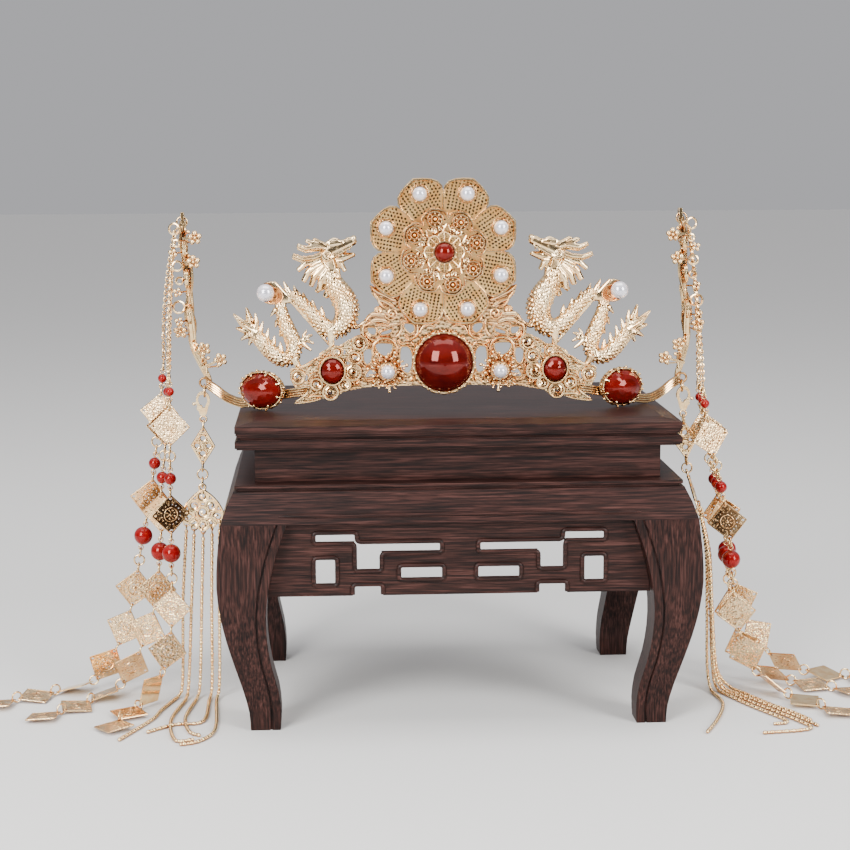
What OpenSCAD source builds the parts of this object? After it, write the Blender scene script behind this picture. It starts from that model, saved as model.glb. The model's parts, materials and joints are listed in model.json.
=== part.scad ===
// Hair crown with two dragons, a flower and hanging strands, set on a carved wooden display stand.
// Sizes are in millimetres. X points right, Y points back and Z points up. The floor is Z = 0.

/* [Stand] */
// Half the width of the top board
top_half = 95; // [90:0.5:97]
// Height of the top board's upper face
top_height = 135; // [130:0.5:140]
// How much less deep than wide the stand is, on each side
depth_inset = 28.5; // [24:0.5:32]
// Half the width of the waist under the top board
waist_half = 87; // [82:0.5:90]
// Height of the sloping belt's lower edge
belt_height = 92.5; // [90:0.5:95]
// Thickness of the fretwork panels
fret_thick = 5; // [3:0.5:6]

/* [Crown] */
// Sideways place of the crown's middle on the stand
crown_x = -5; // [-8:0.5:0]
// Depth of the plane that the ornaments are mounted on
plate_y = -33; // [-36:0.5:-31]
// Height of the flower's middle
flower_z = 204.8; // [203:0.1:206]
// Radius of the flower at the tips of its outer petals
flower_radius = 34; // [32:0.5:36]
// Diameter of the middle stone
centre_stone_size = 25; // [22:0.5:25.5]
// Diameter of the small round pearls
pearl_size = 6.2; // [5:0.1:6.6]

/* [Strands] */
// Side of a pierced square plate
square_side = 13; // [12:0.1:13.5]
// Thickness of a square plate
square_thick = 0.6; // [0.5:0.05:0.8]
// Mean diameter of a jump ring
ring_mean = 4.6; // [4.3:0.1:4.8]
// Thickness of a jump ring's wire
ring_wire = 0.8; // [0.6:0.05:0.9]
// Thickness of a fine chain
chain_thick = 1.5; // [1:0.1:1.6]

/* [Hidden] */
stand_y = 4;
fit = 0.2;
hole_inset = 1.6;
pitch_square = square_side * sqrt(2) - 2 * hole_inset;
pitch_ring = ring_mean;
ring_hook = 0.95;
loop_mean = 1.05;
loop_wire = 0.5;

// Half width of a leg's outer and inner outline at each height
HEIGHT = 0;
OUTER = 1;
INNER = 2;
leg_table = [
    [0, 90.5, 77.6],
    [8, 91, 77.2],
    [18, 93.2, 78.2],
    [30, 96.6, 81],
    [42, 99.8, 82.6],
    [54, 102.2, 82.8],
    [66, 103.4, 81.4],
    [78, 103, 78.6],
    [86, 102.2, 76],
    [92.5, 101.5, 73.6]
];

// Sweep helpers

function unit(v) = v / norm(v);
function tangents(p) = [
    for (i = [0 : len(p) - 1]) unit(p[min(i + 1, len(p) - 1)] - p[max(i - 1, 0)])
];
function across(t) = unit(cross(t, abs(t.y) < 0.9 ? [0, 1, 0] : [1, 0, 0]));
function sideways(t) = [
    for (i = 0, s = across(t[0]); i < len(t);
        i = i + 1, s = i < len(t) ? unit(s - t[i] * (s * t[i])) : s) s
];

// A round bar through the points p with a radius for each point
module sweep(p, radii, sides = 8) {
    t = tangents(p);
    s = sideways(t);
    last = len(p) - 1;
    points = [
        for (i = [0 : last]) for (k = [0 : sides - 1])
            let (a = 360 * k / sides)
            p[i] + radii[i] * (cos(a) * s[i] + sin(a) * cross(t[i], s[i]))
    ];
    walls = [
        for (i = [0 : last - 1]) for (k = [0 : sides - 1])
            let (j = (k + 1) % sides)
            [i * sides + k, (i + 1) * sides + k, (i + 1) * sides + j, i * sides + j]
    ];
    start_cap = [[for (k = [0 : sides - 1]) k]];
    end_cap = [[for (k = [0 : sides - 1]) last * sides + sides - 1 - k]];
    polyhedron(points, concat(start_cap, walls, end_cap), convexity = 6);
}

function same(p, r) = [for (q = p) r];

// A curve through the points of p, with steps pieces between two points
function blend(a, b, c, d, t) =
    b + 0.5 * t * (c - a + t * (2 * a - 5 * b + 4 * c - d + t * (3 * (b - c) + d - a)));
function curve(p, steps) = [
    for (i = [0 : len(p) - 2]) for (k = [0 : steps - 1])
        blend(p[max(i - 1, 0)], p[i], p[i + 1], p[min(i + 2, len(p) - 1)], k / steps),
    p[len(p) - 1]
];

module facing(x, z, y = plate_y) {
    translate([x, y, z]) rotate([90, 0, 0]) children();
}

module on_left() {
    translate([crown_x, 0, 0]) mirror([1, 0, 0]) children();
}

module on_right() {
    translate([crown_x, 0, 0]) children();
}

module ring_shape(r, w) {
    difference() {
        circle(r + w / 2, $fn = 48);
        circle(r - w / 2, $fn = 48);
    }
}

module torus(mean, wire) {
    rotate_extrude($fn = 32) translate([mean / 2, 0]) circle(wire / 2, $fn = 16);
}

// A low oval dome on a straight rim
module oval_dome(wide, tall, height, base) {
    hull() {
        linear_extrude(height = 0.02) scale([wide, tall]) circle(d = 1, $fn = 32);
        for (a = [0, 22, 42, 60, 75, 86]) translate([0, 0, base + height * sin(a)])
            linear_extrude(height = 0.02) scale([wide * cos(a), tall * cos(a)])
                circle(d = 1, $fn = 32);
    }
}

module dome(size, height, base) {
    r = (size * size / 4 + height * height) / (2 * height);
    intersection() {
        translate([0, 0, base + height - r]) sphere(r, $fn = 64);
        translate([0, 0, base]) cylinder(h = height + 1, d = size + 2, $fn = 64);
    }
    cylinder(h = base, d = size, $fn = 64);
}

// Stand

module layer(half, z0, z1) {
    translate([-half, stand_y - half + depth_inset, z0])
        cube([2 * half, 2 * (half - depth_inset), z1 - z0]);
}

module slope(half0, z0, half1, z1) {
    hull() {
        layer(half0, z0, z0 + 0.01);
        layer(half1, z1 - 0.01, z1);
    }
}

module stand_top() {
    z = top_height;
    color("sienna") union() {
        slope(top_half, z - 1.7, top_half - 8, z);
        layer(top_half, z - 4.4, z - 1.6);
        layer(top_half - 0.4, z - 5.4, z - 4.3);
        layer(top_half - 1, z - 6.3, z - 5.3);
        layer(top_half - 2.2, z - 7.4, z - 6.2);
        layer(top_half - 0.6, z - 8.1, z - 7.3);
        layer(top_half, z - 10.8, z - 8);
        layer(top_half - 0.7, z - 11.5, z - 10.7);
    }
}

module stand_waist() {
    color("saddlebrown") layer(waist_half, belt_height + 16, top_height - 11.5);
}

module stand_shelf() {
    b = belt_height;
    color("sienna") union() {
        layer(top_half + 0.4, b + 14.6, b + 16);
        layer(top_half - 0.8, b + 13.2, b + 14.7);
        slope(top_half + 3.8, b + 7.5, top_half + 1, b + 13.3);
        slope(top_half + 6.5, b, top_half + 3.8, b + 7.6);
    }
}

function leg_rows(a, b) = concat(
    [for (row = a) [row[1], row[0]]],
    [for (i = [len(b) - 1 : -1 : 0]) [b[i][1], b[i][0]]]
);
function leg_line(column, shift) = curve(
    [for (row = leg_table) [row[HEIGHT], row[column] + shift]], 2
);

module leg_front_view(a, b) {
    rotate([90, 0, 0]) linear_extrude(height = 2 * top_half + 60, center = true)
        polygon(leg_rows(a, b));
}

module leg_side_view(a, b) {
    translate([0, -depth_inset, 0]) rotate([90, 0, 90])
        linear_extrude(height = 2 * top_half + 60, center = true) polygon(leg_rows(a, b));
}

module leg() {
    outer = leg_line(OUTER, 0);
    inner = leg_line(INNER, 0);
    bead_in = leg_line(INNER, 3.6);
    bead_out = leg_line(INNER, 4.5);
    skin_in = leg_line(OUTER, -0.9);
    skin_out = leg_line(OUTER, 2);
    difference() {
        intersection() {
            leg_front_view(outer, inner);
            leg_side_view(outer, inner);
        }
        intersection() {
            leg_front_view(bead_out, bead_in);
            leg_side_view(skin_out, skin_in);
        }
        intersection() {
            leg_side_view(bead_out, bead_in);
            leg_front_view(skin_out, skin_in);
        }
    }
}

module leg_at(sx, sy) {
    translate([0, stand_y, 0]) mirror([sx < 0 ? 1 : 0, 0, 0]) mirror([0, sy < 0 ? 1 : 0, 0]) leg();
}

// Fretwork openings of one half panel: from, to, bottom and top, in half widths and heights
FROM = 0;
TO = 1;
BOTTOM = 2;
TOP = 3;
fret_table = [
    [44, 62.5, 83, 87.8],
    [7.7, 38.7, 78.6, 83.6],
    [33.5, 45, 70.8, 83.6],
    [52.4, 62.5, 64.8, 77],
    [6.8, 26.2, 66.8, 73.2],
    [33, 46, 55, 65.2]
];

module panel_shape(lift, inset) {
    rows = [for (p = leg_line(INNER, -inset)) if (p[0] > lift) [p[1], p[0]]];
    first = lookup(lift, [for (row = leg_table) [row[HEIGHT], row[INNER]]]) - inset;
    polygon(concat(
        [[first, lift]], rows,
        [for (i = [len(rows) - 1 : -1 : 0]) [-rows[i][0], rows[i][1]]], [[-first, lift]]
    ));
}

module fret_panel() {
    color("peru") rotate([90, 0, 0]) linear_extrude(height = fret_thick) difference() {
        panel_shape(60.3, fit);
        for (side = [-1, 1]) for (row = fret_table) {
            x0 = side > 0 ? row[FROM] : -row[TO];
            translate([x0, row[BOTTOM]]) square([row[TO] - row[FROM], row[TOP] - row[BOTTOM]]);
        }
    }
}

module fret_front() {
    translate([0, stand_y - top_half + depth_inset - 0.5 + fret_thick, 0]) fret_panel();
}

module fret_back() {
    translate([0, stand_y + top_half - depth_inset + 0.5, 0]) fret_panel();
}

module side_apron() {
    color("peru") rotate([90, 0, 90]) linear_extrude(height = fret_thick) difference() {
        panel_shape(60.3, fit + depth_inset);
        for (side = [-1, 1]) translate([side * 23 - 14, 70]) square([28, 10]);
    }
}

module apron_left() {
    translate([-top_half - 0.5, stand_y, 0]) side_apron();
}

module apron_right() {
    translate([top_half + 0.5 - fret_thick, stand_y, 0]) side_apron();
}

// Crown: the band behind the ornaments

// Half of the band's middle line: sideways, back and up
band_line = [
    [0, -30.4, 150], [30, -30.4, 148.5], [47, -30.4, 146.2], [59, -28.8, 144.2],
    [69, -25.4, 142.4], [78.3, -21.3, 140.5], [88, -15.9, 137.3], [96, -9.9, 138.8],
    [101, -6.8, 142], [105.2, -5.8, 144.6]
];
// How far the two ends stand out: the left one is drawn in a little, the right one spread
left_reach = 0.99;
right_reach = 1.03;
// Outward lean of each side branch
left_lean = 8;
right_lean = 0.5;
eye_spot = [106.8, -5.8, 145.4];
function stretched(p, k) = [for (q = p) [q.x * (q.x > 80 ? k : 1), q.y, q.z]];
function flipped(p) = [for (i = [len(p) - 1 : -1 : 1]) [-p[i].x, p[i].y, p[i].z]];
band_path = curve(
    concat(flipped(stretched(band_line, left_reach)), stretched(band_line, right_reach)), 2
);

module strip(p, tall, thick) {
    n = len(p);
    t = tangents(p);
    points = [
        for (i = [0 : n - 1]) let (s = unit(cross([0, 0, 1], t[i])), u = unit(cross(t[i], s)))
        for (c = [[-1, -1], [1, -1], [1, 1], [-1, 1]])
            p[i] + c[0] * s * thick / 2 + c[1] * u * tall / 2
    ];
    walls = [
        for (i = [0 : n - 2]) for (k = [0 : 3]) let (j = (k + 1) % 4)
            [i * 4 + k, (i + 1) * 4 + k, (i + 1) * 4 + j, i * 4 + j]
    ];
    polyhedron(points, concat([[0, 1, 2, 3]], walls,
        [[4 * n - 1, 4 * n - 2, 4 * n - 3, 4 * n - 4]]), convexity = 8);
}

module band() {
    color("khaki") translate([crown_x, 0, 0]) union() {
        strip(band_path, 4, 1.2);
        for (x = [-eye_spot.x * left_reach, eye_spot.x * right_reach])
            translate([x, eye_spot.y, eye_spot.z]) rotate([90, 0, 0]) torus(4, 1);
    }
}

// Scroll work between the flower, the middle stone and the clouds: half its outline, then its
// openings, all sideways and up
scroll_outline = [
    [-1, 180], [10, 181], [18, 187], [26, 188.6], [32, 190.4], [31, 186.4], [28.4, 183.4],
    [27.6, 180.2], [30.4, 179], [33, 177.4], [34.6, 174.2], [36.4, 171.6], [36, 167],
    [37.6, 162], [37, 156], [45, 150], [45, 143.9], [34, 146], [-1, 147]
];
scroll_openings = [
    [[29.4, 171.8], [33.2, 172], [32.4, 169.2], [29.6, 168.8]],
    [[22.4, 171.6], [27.4, 170], [26.8, 168.6], [22.8, 169.6]],
    [[22.2, 164.6], [25.8, 165.4], [29.8, 164.8], [28.6, 161.2], [25.6, 159.4], [22.8, 161]],
    [[12.4, 171], [13.4, 173.4], [17, 173.8], [17, 171.4], [14.4, 169.2]],
    [[31.4, 157.4], [31.2, 162.4], [34.8, 163], [35, 158], [33.4, 155.8]],
    [[13.8, 154.4], [13.6, 160.4], [15.4, 163.6], [18.6, 163.2], [19.2, 158], [18.4, 153.4],
        [15.4, 151.8]],
    [[29.8, 150.8], [29.2, 154.6], [32, 154.2], [34.4, 151], [33, 149.8]]
];

module bar_shape(a, b, w) {
    d = b - a;
    translate(a) rotate([0, 0, atan2(d.y, d.x)]) translate([-w / 2, -w / 2])
        square([norm(d) + w, w]);
}

module scroll_half() {
    difference() {
        polygon(scroll_outline);
        for (hole = scroll_openings) polygon(hole);
    }
}

module scroll_work() {
    color("goldenrod") translate([crown_x, plate_y + 1.5 + fit, 0]) rotate([90, 0, 0])
        linear_extrude(height = 1.5) difference() {
            union() {
                scroll_half();
                mirror([1, 0]) scroll_half();
            }
            translate([0, 156.8]) circle(11, $fn = 48);
        }
}

// Flower

// One outer petal's half outline: angle and share of the flower's radius
PA = 0;
PR = 1;
petal_edge = [[0, 1], [7, 0.965], [13, 0.935], [17.5, 0.9], [20.6, 0.84], [22.5, 0.765]];

module flower_outline(scale_to, turn) {
    half = petal_edge;
    n = len(half);
    polygon([
        for (k = [0 : 7]) for (i = [-(n - 1) : n - 2])
            let (row = half[abs(i)], a = turn + 45 * k + sign(i) * row[PA])
            scale_to * row[PR] * [cos(a), sin(a)]
    ]);
}

module flower_outer() {
    pearl_ring = flower_radius * 0.79;
    color("wheat") facing(crown_x, flower_z) {
        difference() {
            union() {
                linear_extrude(height = 0.8) flower_outline(flower_radius, 22.5);
                linear_extrude(height = 1.5) difference() {
                    flower_outline(flower_radius, 22.5);
                    flower_outline(flower_radius - 1.4, 22.5);
                }
            }
            for (k = [0 : 7]) for (spot = [[31, 0], [27, 11.5], [27, -11.5], [22.4, 0]])
                rotate([0, 0, 22.5 + 45 * k + spot[1]]) translate([spot[0], 0, -1])
                    cylinder(h = 4, d = 2, $fn = 16);
        }
        for (k = [0 : 7]) rotate([0, 0, 22.5 + 45 * k]) translate([pearl_ring, 0, 0.4])
            linear_extrude(height = 1.4) difference() {
                circle(3.6, $fn = 32);
                circle(3, $fn = 32);
            }
    }
}

module flower_pearls() {
    pearl_ring = flower_radius * 0.79;
    r = pearl_size / 2;
    color("white") facing(crown_x, flower_z)
        for (k = [0 : 7]) rotate([0, 0, 22.5 + 45 * k]) translate([pearl_ring, 0, 0.8 + r - 0.5])
            intersection() {
                sphere(r, $fn = 32);
                translate([-5, -5, 0.5 - r]) cube(10);
            }
}

module flower_inner() {
    color("orange") facing(crown_x, flower_z) {
        translate([0, 0, 0.8]) cylinder(h = 3, r = 9, $fn = 48);
        translate([0, 0, 3.2]) linear_extrude(height = 0.8) flower_outline(19.8, 15);
        translate([0, 0, 3.2]) linear_extrude(height = 1.3) difference() {
            flower_outline(19.8, 15);
            flower_outline(18.8, 15);
        }
        for (k = [0 : 7]) rotate([0, 0, 15 + 45 * k]) translate([14.2, 0, 3.6]) {
            linear_extrude(height = 1.2) ring_shape(3.2, 0.8);
            linear_extrude(height = 1.8) ring_shape(1.5, 0.9);
        }
    }
}

module flower_star() {
    color("khaki") facing(crown_x, flower_z) {
        translate([0, 0, 4]) cylinder(h = 2.4, r = 4.6, $fn = 32);
        translate([0, 0, 6]) linear_extrude(height = 0.8) flower_outline(9.2, 0);
        translate([0, 0, 6.4]) linear_extrude(height = 2) ring_shape(4.85, 0.8);
    }
}

module flower_stone() {
    color("red") facing(crown_x, flower_z) translate([0, 0, 6.8]) dome(8.6, 3.2, 0.8);
}

// Middle stone

module centre_setting() {
    r = centre_stone_size / 2;
    color("khaki") facing(crown_x, 156.8) {
        cylinder(h = 1.2, r = r + 0.8, $fn = 64);
        linear_extrude(height = 3.4) difference() {
            circle(r + 0.9, $fn = 64);
            circle(r + 0.15, $fn = 64);
        }
        for (k = [0 : 17]) rotate([0, 0, 20 * k + 10]) translate([r + 0.95, 0, 3]) {
            sphere(0.75, $fn = 16);
        }
    }
}

module centre_stone() {
    color("darkred") facing(crown_x, 156.8) translate([0, 0, 1.2])
        dome(centre_stone_size, 7.6, 1.8);
}

// Sunburst flowers: a pearl in a dish with ball tipped rods around it

module sunburst() {
    facing(24.5, 153, plate_y) {
        cylinder(h = 2, r = 4.2, $fn = 32);
        translate([0, 0, 1]) linear_extrude(height = 1.8) ring_shape(3.5, 0.8);
        for (k = [0 : 13]) {
            reach = k % 2 == 0 ? 5.2 : 3.4;
            rotate([0, 0, 360 * k / 14 + 8]) translate([3.6, 0, 1.1])
                rotate([0, 90 - (k % 2 == 0 ? 8 : 30), 0]) {
                    cylinder(h = reach, r = 0.4, $fn = 13);
                    translate([0, 0, reach]) sphere(0.75, $fn = 16);
                }
        }
    }
}

module burst_pearl() {
    r = pearl_size / 2;
    facing(24.5, 153, plate_y) translate([0, 0, 2 + r - 0.5]) intersection() {
        sphere(r, $fn = 32);
        translate([-5, -5, 0.5 - r]) cube(10);
    }
}

// Cloud plates: sideways, up and radius of each round lobe
cloud_lobes = [
    [36.4, 165.2, 3.8], [38.6, 159.4, 3.6], [39.6, 152.8, 4], [43.2, 147.4, 3], [49.4, 144.2, 3.8],
    [55.4, 147.8, 3], [63.4, 151, 3.4], [46.4, 161.7, 2.8]
];
cloud_body = [
    [36, 168.6], [41, 166.6], [46, 163.6], [50, 163.2], [53.2, 160.2], [61, 155], [66.4, 154],
    [64.4, 146.4], [59, 146.6], [60.6, 142.6], [65, 139.6], [58, 140.2], [53.6, 141.4],
    [47, 141.6], [42, 146], [38.6, 150], [36.4, 156], [34.4, 162]
];
cloud_holes = [[60.6, 150.6, 1.5], [56.4, 145.4, 1.2], [43.6, 161.6, 1], [41.6, 156.6, 0.9]];

module cloud() {
    translate([0, plate_y - fit, 0]) rotate([90, 0, 0]) {
        difference() {
            linear_extrude(height = 1.2) union() {
                polygon(cloud_body);
                for (row = cloud_lobes) translate([row[0], row[1]]) circle(row[2], $fn = 40);
            }
            for (row = cloud_lobes) translate([row[0], row[1], -1])
                cylinder(h = 4, r = row[2] * 0.26, $fn = 16);
            for (row = cloud_holes) translate([row[0], row[1], -1])
                cylinder(h = 4, r = row[2], $fn = 16);
        }
        for (row = cloud_lobes) translate([row[0], row[1], 0.8])
            linear_extrude(height = 1.2) ring_shape(row[2] - 0.6, 0.9);
        translate([48.5, 153.6, 0.8]) linear_extrude(height = 2.2) difference() {
            scale([1, 1.12]) circle(5.9, $fn = 48);
            scale([1, 1.12]) circle(5, $fn = 48);
        }
    }
}

module cloud_stone() {
    translate([48.5, plate_y - fit - 1.2, 153.6]) rotate([90, 0, 0])
        oval_dome(9.6, 10.8, 3.2, 1.2);
}

// Oval stones at the ends of the row, turned outwards with the band
oval_wide = 19;
oval_squash = 0.8;

module oval_place() {
    translate([78.6, -22.6, 144.1]) rotate([90, 0, 24]) children();
}

module oval_outline(half) {
    polygon([for (k = [0 : 39]) half * [cos(9 * k), oval_squash * sin(9 * k)]]);
}

module oval_setting() {
    half = oval_wide / 2;
    oval_place() {
        linear_extrude(height = 1.2) oval_outline(half + 0.75);
        linear_extrude(height = 3) difference() {
            oval_outline(half + 0.85);
            oval_outline(half + 0.15);
        }
        for (k = [0 : 15]) let (a = 22.5 * k + 11, r = half + 0.85)
            translate([r * cos(a), oval_squash * r * sin(a), 2]) sphere(0.6, $fn = 16);
        translate([half, 0, 0]) cylinder(h = 1, r = 1.4, $fn = 20);
    }
}

module oval_stone() {
    oval_place() translate([0, 0, 1.2])
        oval_dome(oval_wide, oval_wide * oval_squash, 5.2, 1.4);
}

// Dragon, drawn for the right side: sideways, up and radius along its body
dragon_body = [
    [49.4, 201.2, 3.3], [49.8, 196.4, 3.6], [48, 191.6, 4.1], [44.8, 187, 4.7],
    [42.2, 182.2, 5.1], [41.8, 177.2, 4.9], [44, 172.8, 4.3], [48.4, 170.6, 3.7],
    [52.8, 173.2, 3.2], [57.2, 178, 2.8], [61.6, 182.8, 2.6], [65.8, 187, 2.2]
];
dragon_tail = [
    [69.6, 187, 1.7], [70.8, 182.6, 2], [69.8, 177.6, 2.5], [68, 172.2, 3], [65.8, 167, 3.2],
    [64.8, 162.4, 3.1], [66.6, 158.8, 3], [70.6, 158.2, 3.1], [74.6, 161, 3.1],
    [78.2, 165, 2.9], [81.4, 169, 2.5], [83.8, 172.4, 1.8]
];
// Leaves of mane, fins, claws and tail: start, middle and tip, sideways and up, then the
// radius at each, and how far to the front
dragon_leaves = [
    [[66.6, 186.4], [67.8, 189.4], [69.2, 192.2], 1.5, 1.1, 0.3, 0],
    [[62.8, 183.4], [63.8, 187.2], [64.8, 190.4], 1.7, 1.3, 0.3, 0],
    [[59.4, 180], [60, 184], [60.8, 187.4], 1.8, 1.4, 0.3, 0],
    [[56, 176.4], [56.2, 180.6], [56.8, 184.2], 1.8, 1.4, 0.3, 0],
    [[52.6, 173.8], [52.6, 178], [53, 181.2], 1.8, 1.4, 0.3, 0],
    [[50.4, 191], [53.4, 189.2], [55.2, 187.4], 1.9, 1.6, 1.1, 0],
    [[48, 188.4], [50.2, 187], [51.4, 185], 1.9, 1.8, 1.3, 0],
    [[45.6, 184.4], [47.2, 183], [47.6, 181.2], 1.8, 1.5, 1.1, 0],
    [[70.2, 180], [73.2, 179.6], [75, 177], 1.2, 1.3, 0.4, 0],
    [[70, 175.6], [72.4, 174.6], [73, 172], 1.3, 1.2, 0.4, 0],
    [[68, 171], [70.6, 170.4], [71.2, 168], 1.5, 1.2, 0.4, 0],
    [[80.6, 168.4], [79.2, 171.4], [78.4, 175], 1.6, 1.2, 0.3, 0],
    [[77.6, 165.2], [76.6, 168.4], [76, 172], 1.8, 1.2, 0.3, 0],
    [[74.6, 162], [73.8, 165.4], [73.4, 168.8], 1.8, 1.2, 0.3, 0],
    [[71, 160], [70.8, 163.2], [71, 166], 1.8, 1.2, 0.3, 0],
    [[82.6, 171], [87, 174], [91, 178.2], 1.8, 1.9, 0.5, 0.8],
    [[83, 171], [84.2, 176], [85.4, 180.8], 1.8, 1.8, 0.5, -0.6],
    [[82, 170.6], [81.2, 174.8], [81.6, 178.6], 1.6, 1.3, 0.4, 0.6],
    [[82.6, 170.4], [86.4, 171], [90, 172], 1.7, 1.7, 0.6, -0.4],
    [[82, 169.6], [85.2, 168.8], [88, 167], 1.6, 1.5, 0.6, 0.8],
    [[81.4, 169], [83.6, 167], [84.6, 164.4], 1.4, 1.3, 0.6, -0.4],
    [[64.4, 163.4], [62.4, 166], [60.4, 167], 1.4, 1.3, 1, 1],
    [[60.8, 166.8], [60.6, 169], [59.4, 170.8], 0.9, 0.8, 0.5, 1.2],
    [[60.6, 166.8], [58.4, 168.4], [56.8, 168.8], 0.9, 0.8, 0.5, 1.2],
    [[60.6, 166.6], [58.2, 166], [56.4, 165], 0.9, 0.8, 0.5, 1.2],
    [[61.8, 165.6], [59.4, 163.4], [57.4, 162], 1, 0.9, 0.6, 1.2],
    [[49, 171], [48.8, 166.6], [48.4, 161.6], 1.9, 1.5, 1.4, 2.6],
    [[65, 159.4], [63.6, 156], [62, 152.8], 2, 1.6, 1.4, 2.6],
    [[42.4, 175.6], [40.4, 173], [38.2, 171.8], 1.9, 1.4, 1.1, 1],
    [[38.4, 171.8], [36, 172.8], [34, 174.4], 1.1, 1, 0.9, 1],
    [[34.4, 174], [33, 175.8], [31.8, 178], 0.9, 0.8, 0.5, 1],
    [[34.4, 174], [32.4, 174.4], [30.6, 174.2], 0.9, 0.7, 0.5, 1]
];
// Mane and beard leaves, on both sides of the head
dragon_locks = [
    [[52.6, 201.4], [59.4, 199.8], [63, 196.8], 1.6, 1.5, 1.2, 1],
    [[52, 200], [58.2, 196.6], [60.6, 192], 1.6, 1.6, 1.3, 1.8],
    [[51.4, 199], [55.8, 194.4], [57.4, 190], 1.6, 1.6, 1.2, 2.2],
    [[50, 197.6], [53, 192.8], [54, 188], 1.6, 1.5, 1.1, 2.4],
    [[46.4, 201], [44, 199.4], [42.4, 196.4], 1.5, 1.4, 1, 1],
    [[47.4, 198.8], [45.8, 196.6], [45, 193.4], 1.5, 1.4, 1, 1.6]
];
dragon_horns = [
    [[50.6, 206.4], [55, 206.6], [59.4, 205.8], [63, 207.2]],
    [[51.6, 203.4], [56, 201.8], [60.8, 201.4], [65, 203]]
];
cup_x = 77;
cup_z = 187.4;

module dragon_leaf(row) {
    sweep([for (i = [0 : 2]) [row[i].x, row[i].y, row[6]]], [row[3], row[4], row[5]], 6);
}

module dragon() {
    translate([0, plate_y + 4, 0]) rotate([90, 0, 0]) difference() {
        union() {
            sweep([for (r = dragon_body) [r[0], r[1], 0]], [for (r = dragon_body) r[2]]);
            sweep([for (r = dragon_tail) [r[0], r[1], 0]], [for (r = dragon_tail) r[2]]);
            for (row = dragon_leaves) dragon_leaf(row);
            for (row = dragon_locks) {
                dragon_leaf(row);
                mirror([0, 0, 1]) dragon_leaf(row);
            }
            for (h = dragon_horns) for (z = [-1.6, 1.6]) sweep(
                [for (i = [0 : 3]) [h[i].x, h[i].y + z * 0.4, z * (1 + 0.5 * i)]],
                [1.4, 1.3, 1.2, 1.1], 6
            );
            dragon_head();
            sweep([[73.2, 192, 1.2], [49.6, 164.4, 1.2]], [0.7, 0.7], 6);
            hull() {
                translate([65.6, 183.6, 0.6]) sphere(1, $fn = 8);
                translate([cup_x - 1.8, cup_z - 0.2, -1.4]) rotate([0, -14, 0])
                    cylinder(h = 3.6, r = 5, $fn = 18);
            }
        }
        translate([cup_x, cup_z, 3]) sphere(4.05, $fn = 16);
        translate([cup_x - 4, cup_z - 1.4, 5]) sphere(4.6, $fn = 12);
    }
}

module dragon_head() {
    hull() {
        translate([39, 209.2, 0]) sphere(2, $fn = 8);
        translate([44, 207.2, 0]) sphere(2.5, $fn = 8);
        translate([49.6, 204.8, 0]) sphere(3.9, $fn = 8);
    }
    hull() {
        translate([38.8, 203.4, 0]) sphere(1.1, $fn = 8);
        translate([43.6, 201.4, 0]) sphere(1.4, $fn = 8);
        translate([48.6, 202, 0]) sphere(2.4, $fn = 8);
    }
    hull() {
        translate([49.6, 203.6, 0]) sphere(3.9, $fn = 8);
        translate([48.2, 197.6, 0]) sphere(3.7, $fn = 8);
    }
    for (z = [-1.8, 1.8]) {
        translate([38.6, 210.6, z * 0.6]) sphere(1.4, $fn = 6);
        hull() {
            translate([43.6, 208.8, z]) sphere(1, $fn = 6);
            translate([48.8, 208.2, z * 1.3]) sphere(1.5, $fn = 6);
        }
        hull() {
            translate([50.6, 207.4, z]) sphere(1.1, $fn = 6);
            translate([55.6, 210, z * 1.3]) sphere(0.9, $fn = 6);
        }
        hull() {
            translate([52, 206.6, z]) sphere(1.1, $fn = 6);
            translate([58.8, 209.6, z * 1.4]) sphere(0.9, $fn = 6);
        }
    }
}

module dragon_pearl() {
    translate([cup_x, plate_y + 4 - 3, cup_z]) sphere(3.85, $fn = 32);
}

// Side branches: a flat leafy scroll seen from its edge, with small flowers on stalks
BU = 0;
BV = 1;
branch_rings = [
    [3, 208.6, 2.8], [-1.5, 206, 3.6], [2.5, 199.5, 3.4], [-2.5, 192.5, 3.6], [3, 184.5, 4],
    [-3, 176.5, 3.6], [2, 168.5, 3.6]
];
branch_bars = [
    [[0, 144], [0, 172]], [[0, 170], [-1, 196]], [[-1, 194], [1, 221]], [[-6, 179], [0, 160]],
    [[6, 187], [1, 165]]
];
// Small flowers: sideways, back, up and stalk's start sideways
branch_flowers = [
    [-5.2, -5, 210.6], [-3.6, -4.5, 200], [5, -1.4, 169.4], [-4.2, -6, 160.4], [-9, -8, 153.2]
];
// Height of a branch's foot and bend, and how much further out it leans between them
foot_z = 148;
bend_z = 164;
left_foot = 16;
right_foot = 14;

module small_flower() {
    rotate([90, 0, 0]) {
        linear_extrude(height = 1) {
            circle(1.4, $fn = 24);
            for (k = [0 : 4]) rotate([0, 0, 72 * k + 18]) translate([1.9, 0]) circle(1.15, $fn = 24);
        }
        translate([0, 0, 1]) sphere(0.8, $fn = 16);
    }
}

module branch_plate(low, high) {
    rotate([90, 0, 90]) translate([0, 0, -0.7]) linear_extrude(height = 1.4) {
        intersection() {
            union() for (row = branch_bars) bar_shape(row[0], row[1], 1.6);
            translate([-12, low]) square([24, high - low]);
        }
        if (high > bend_z + 9) {
            for (row = branch_rings) translate([row[0], row[1]]) ring_shape(row[2], 1.3);
            translate([3.4, 219.6]) ring_shape(1.7, 1.1);
        }
    }
}

module branch_flower(row) {
    translate(row) small_flower();
    reach = -row[1] + 0.4;
    out = abs(row[0]) + 0.4;
    translate([min(row[0], 0) - (row[0] > 0 ? 0.4 : 0), row[1] - 0.4, row[2] - 0.5])
        cube([out, 0.9, 1]);
    translate([-0.5, row[1] - 0.4, row[2] - 0.5]) cube([1, reach + 0.6, 1]);
}

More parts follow.
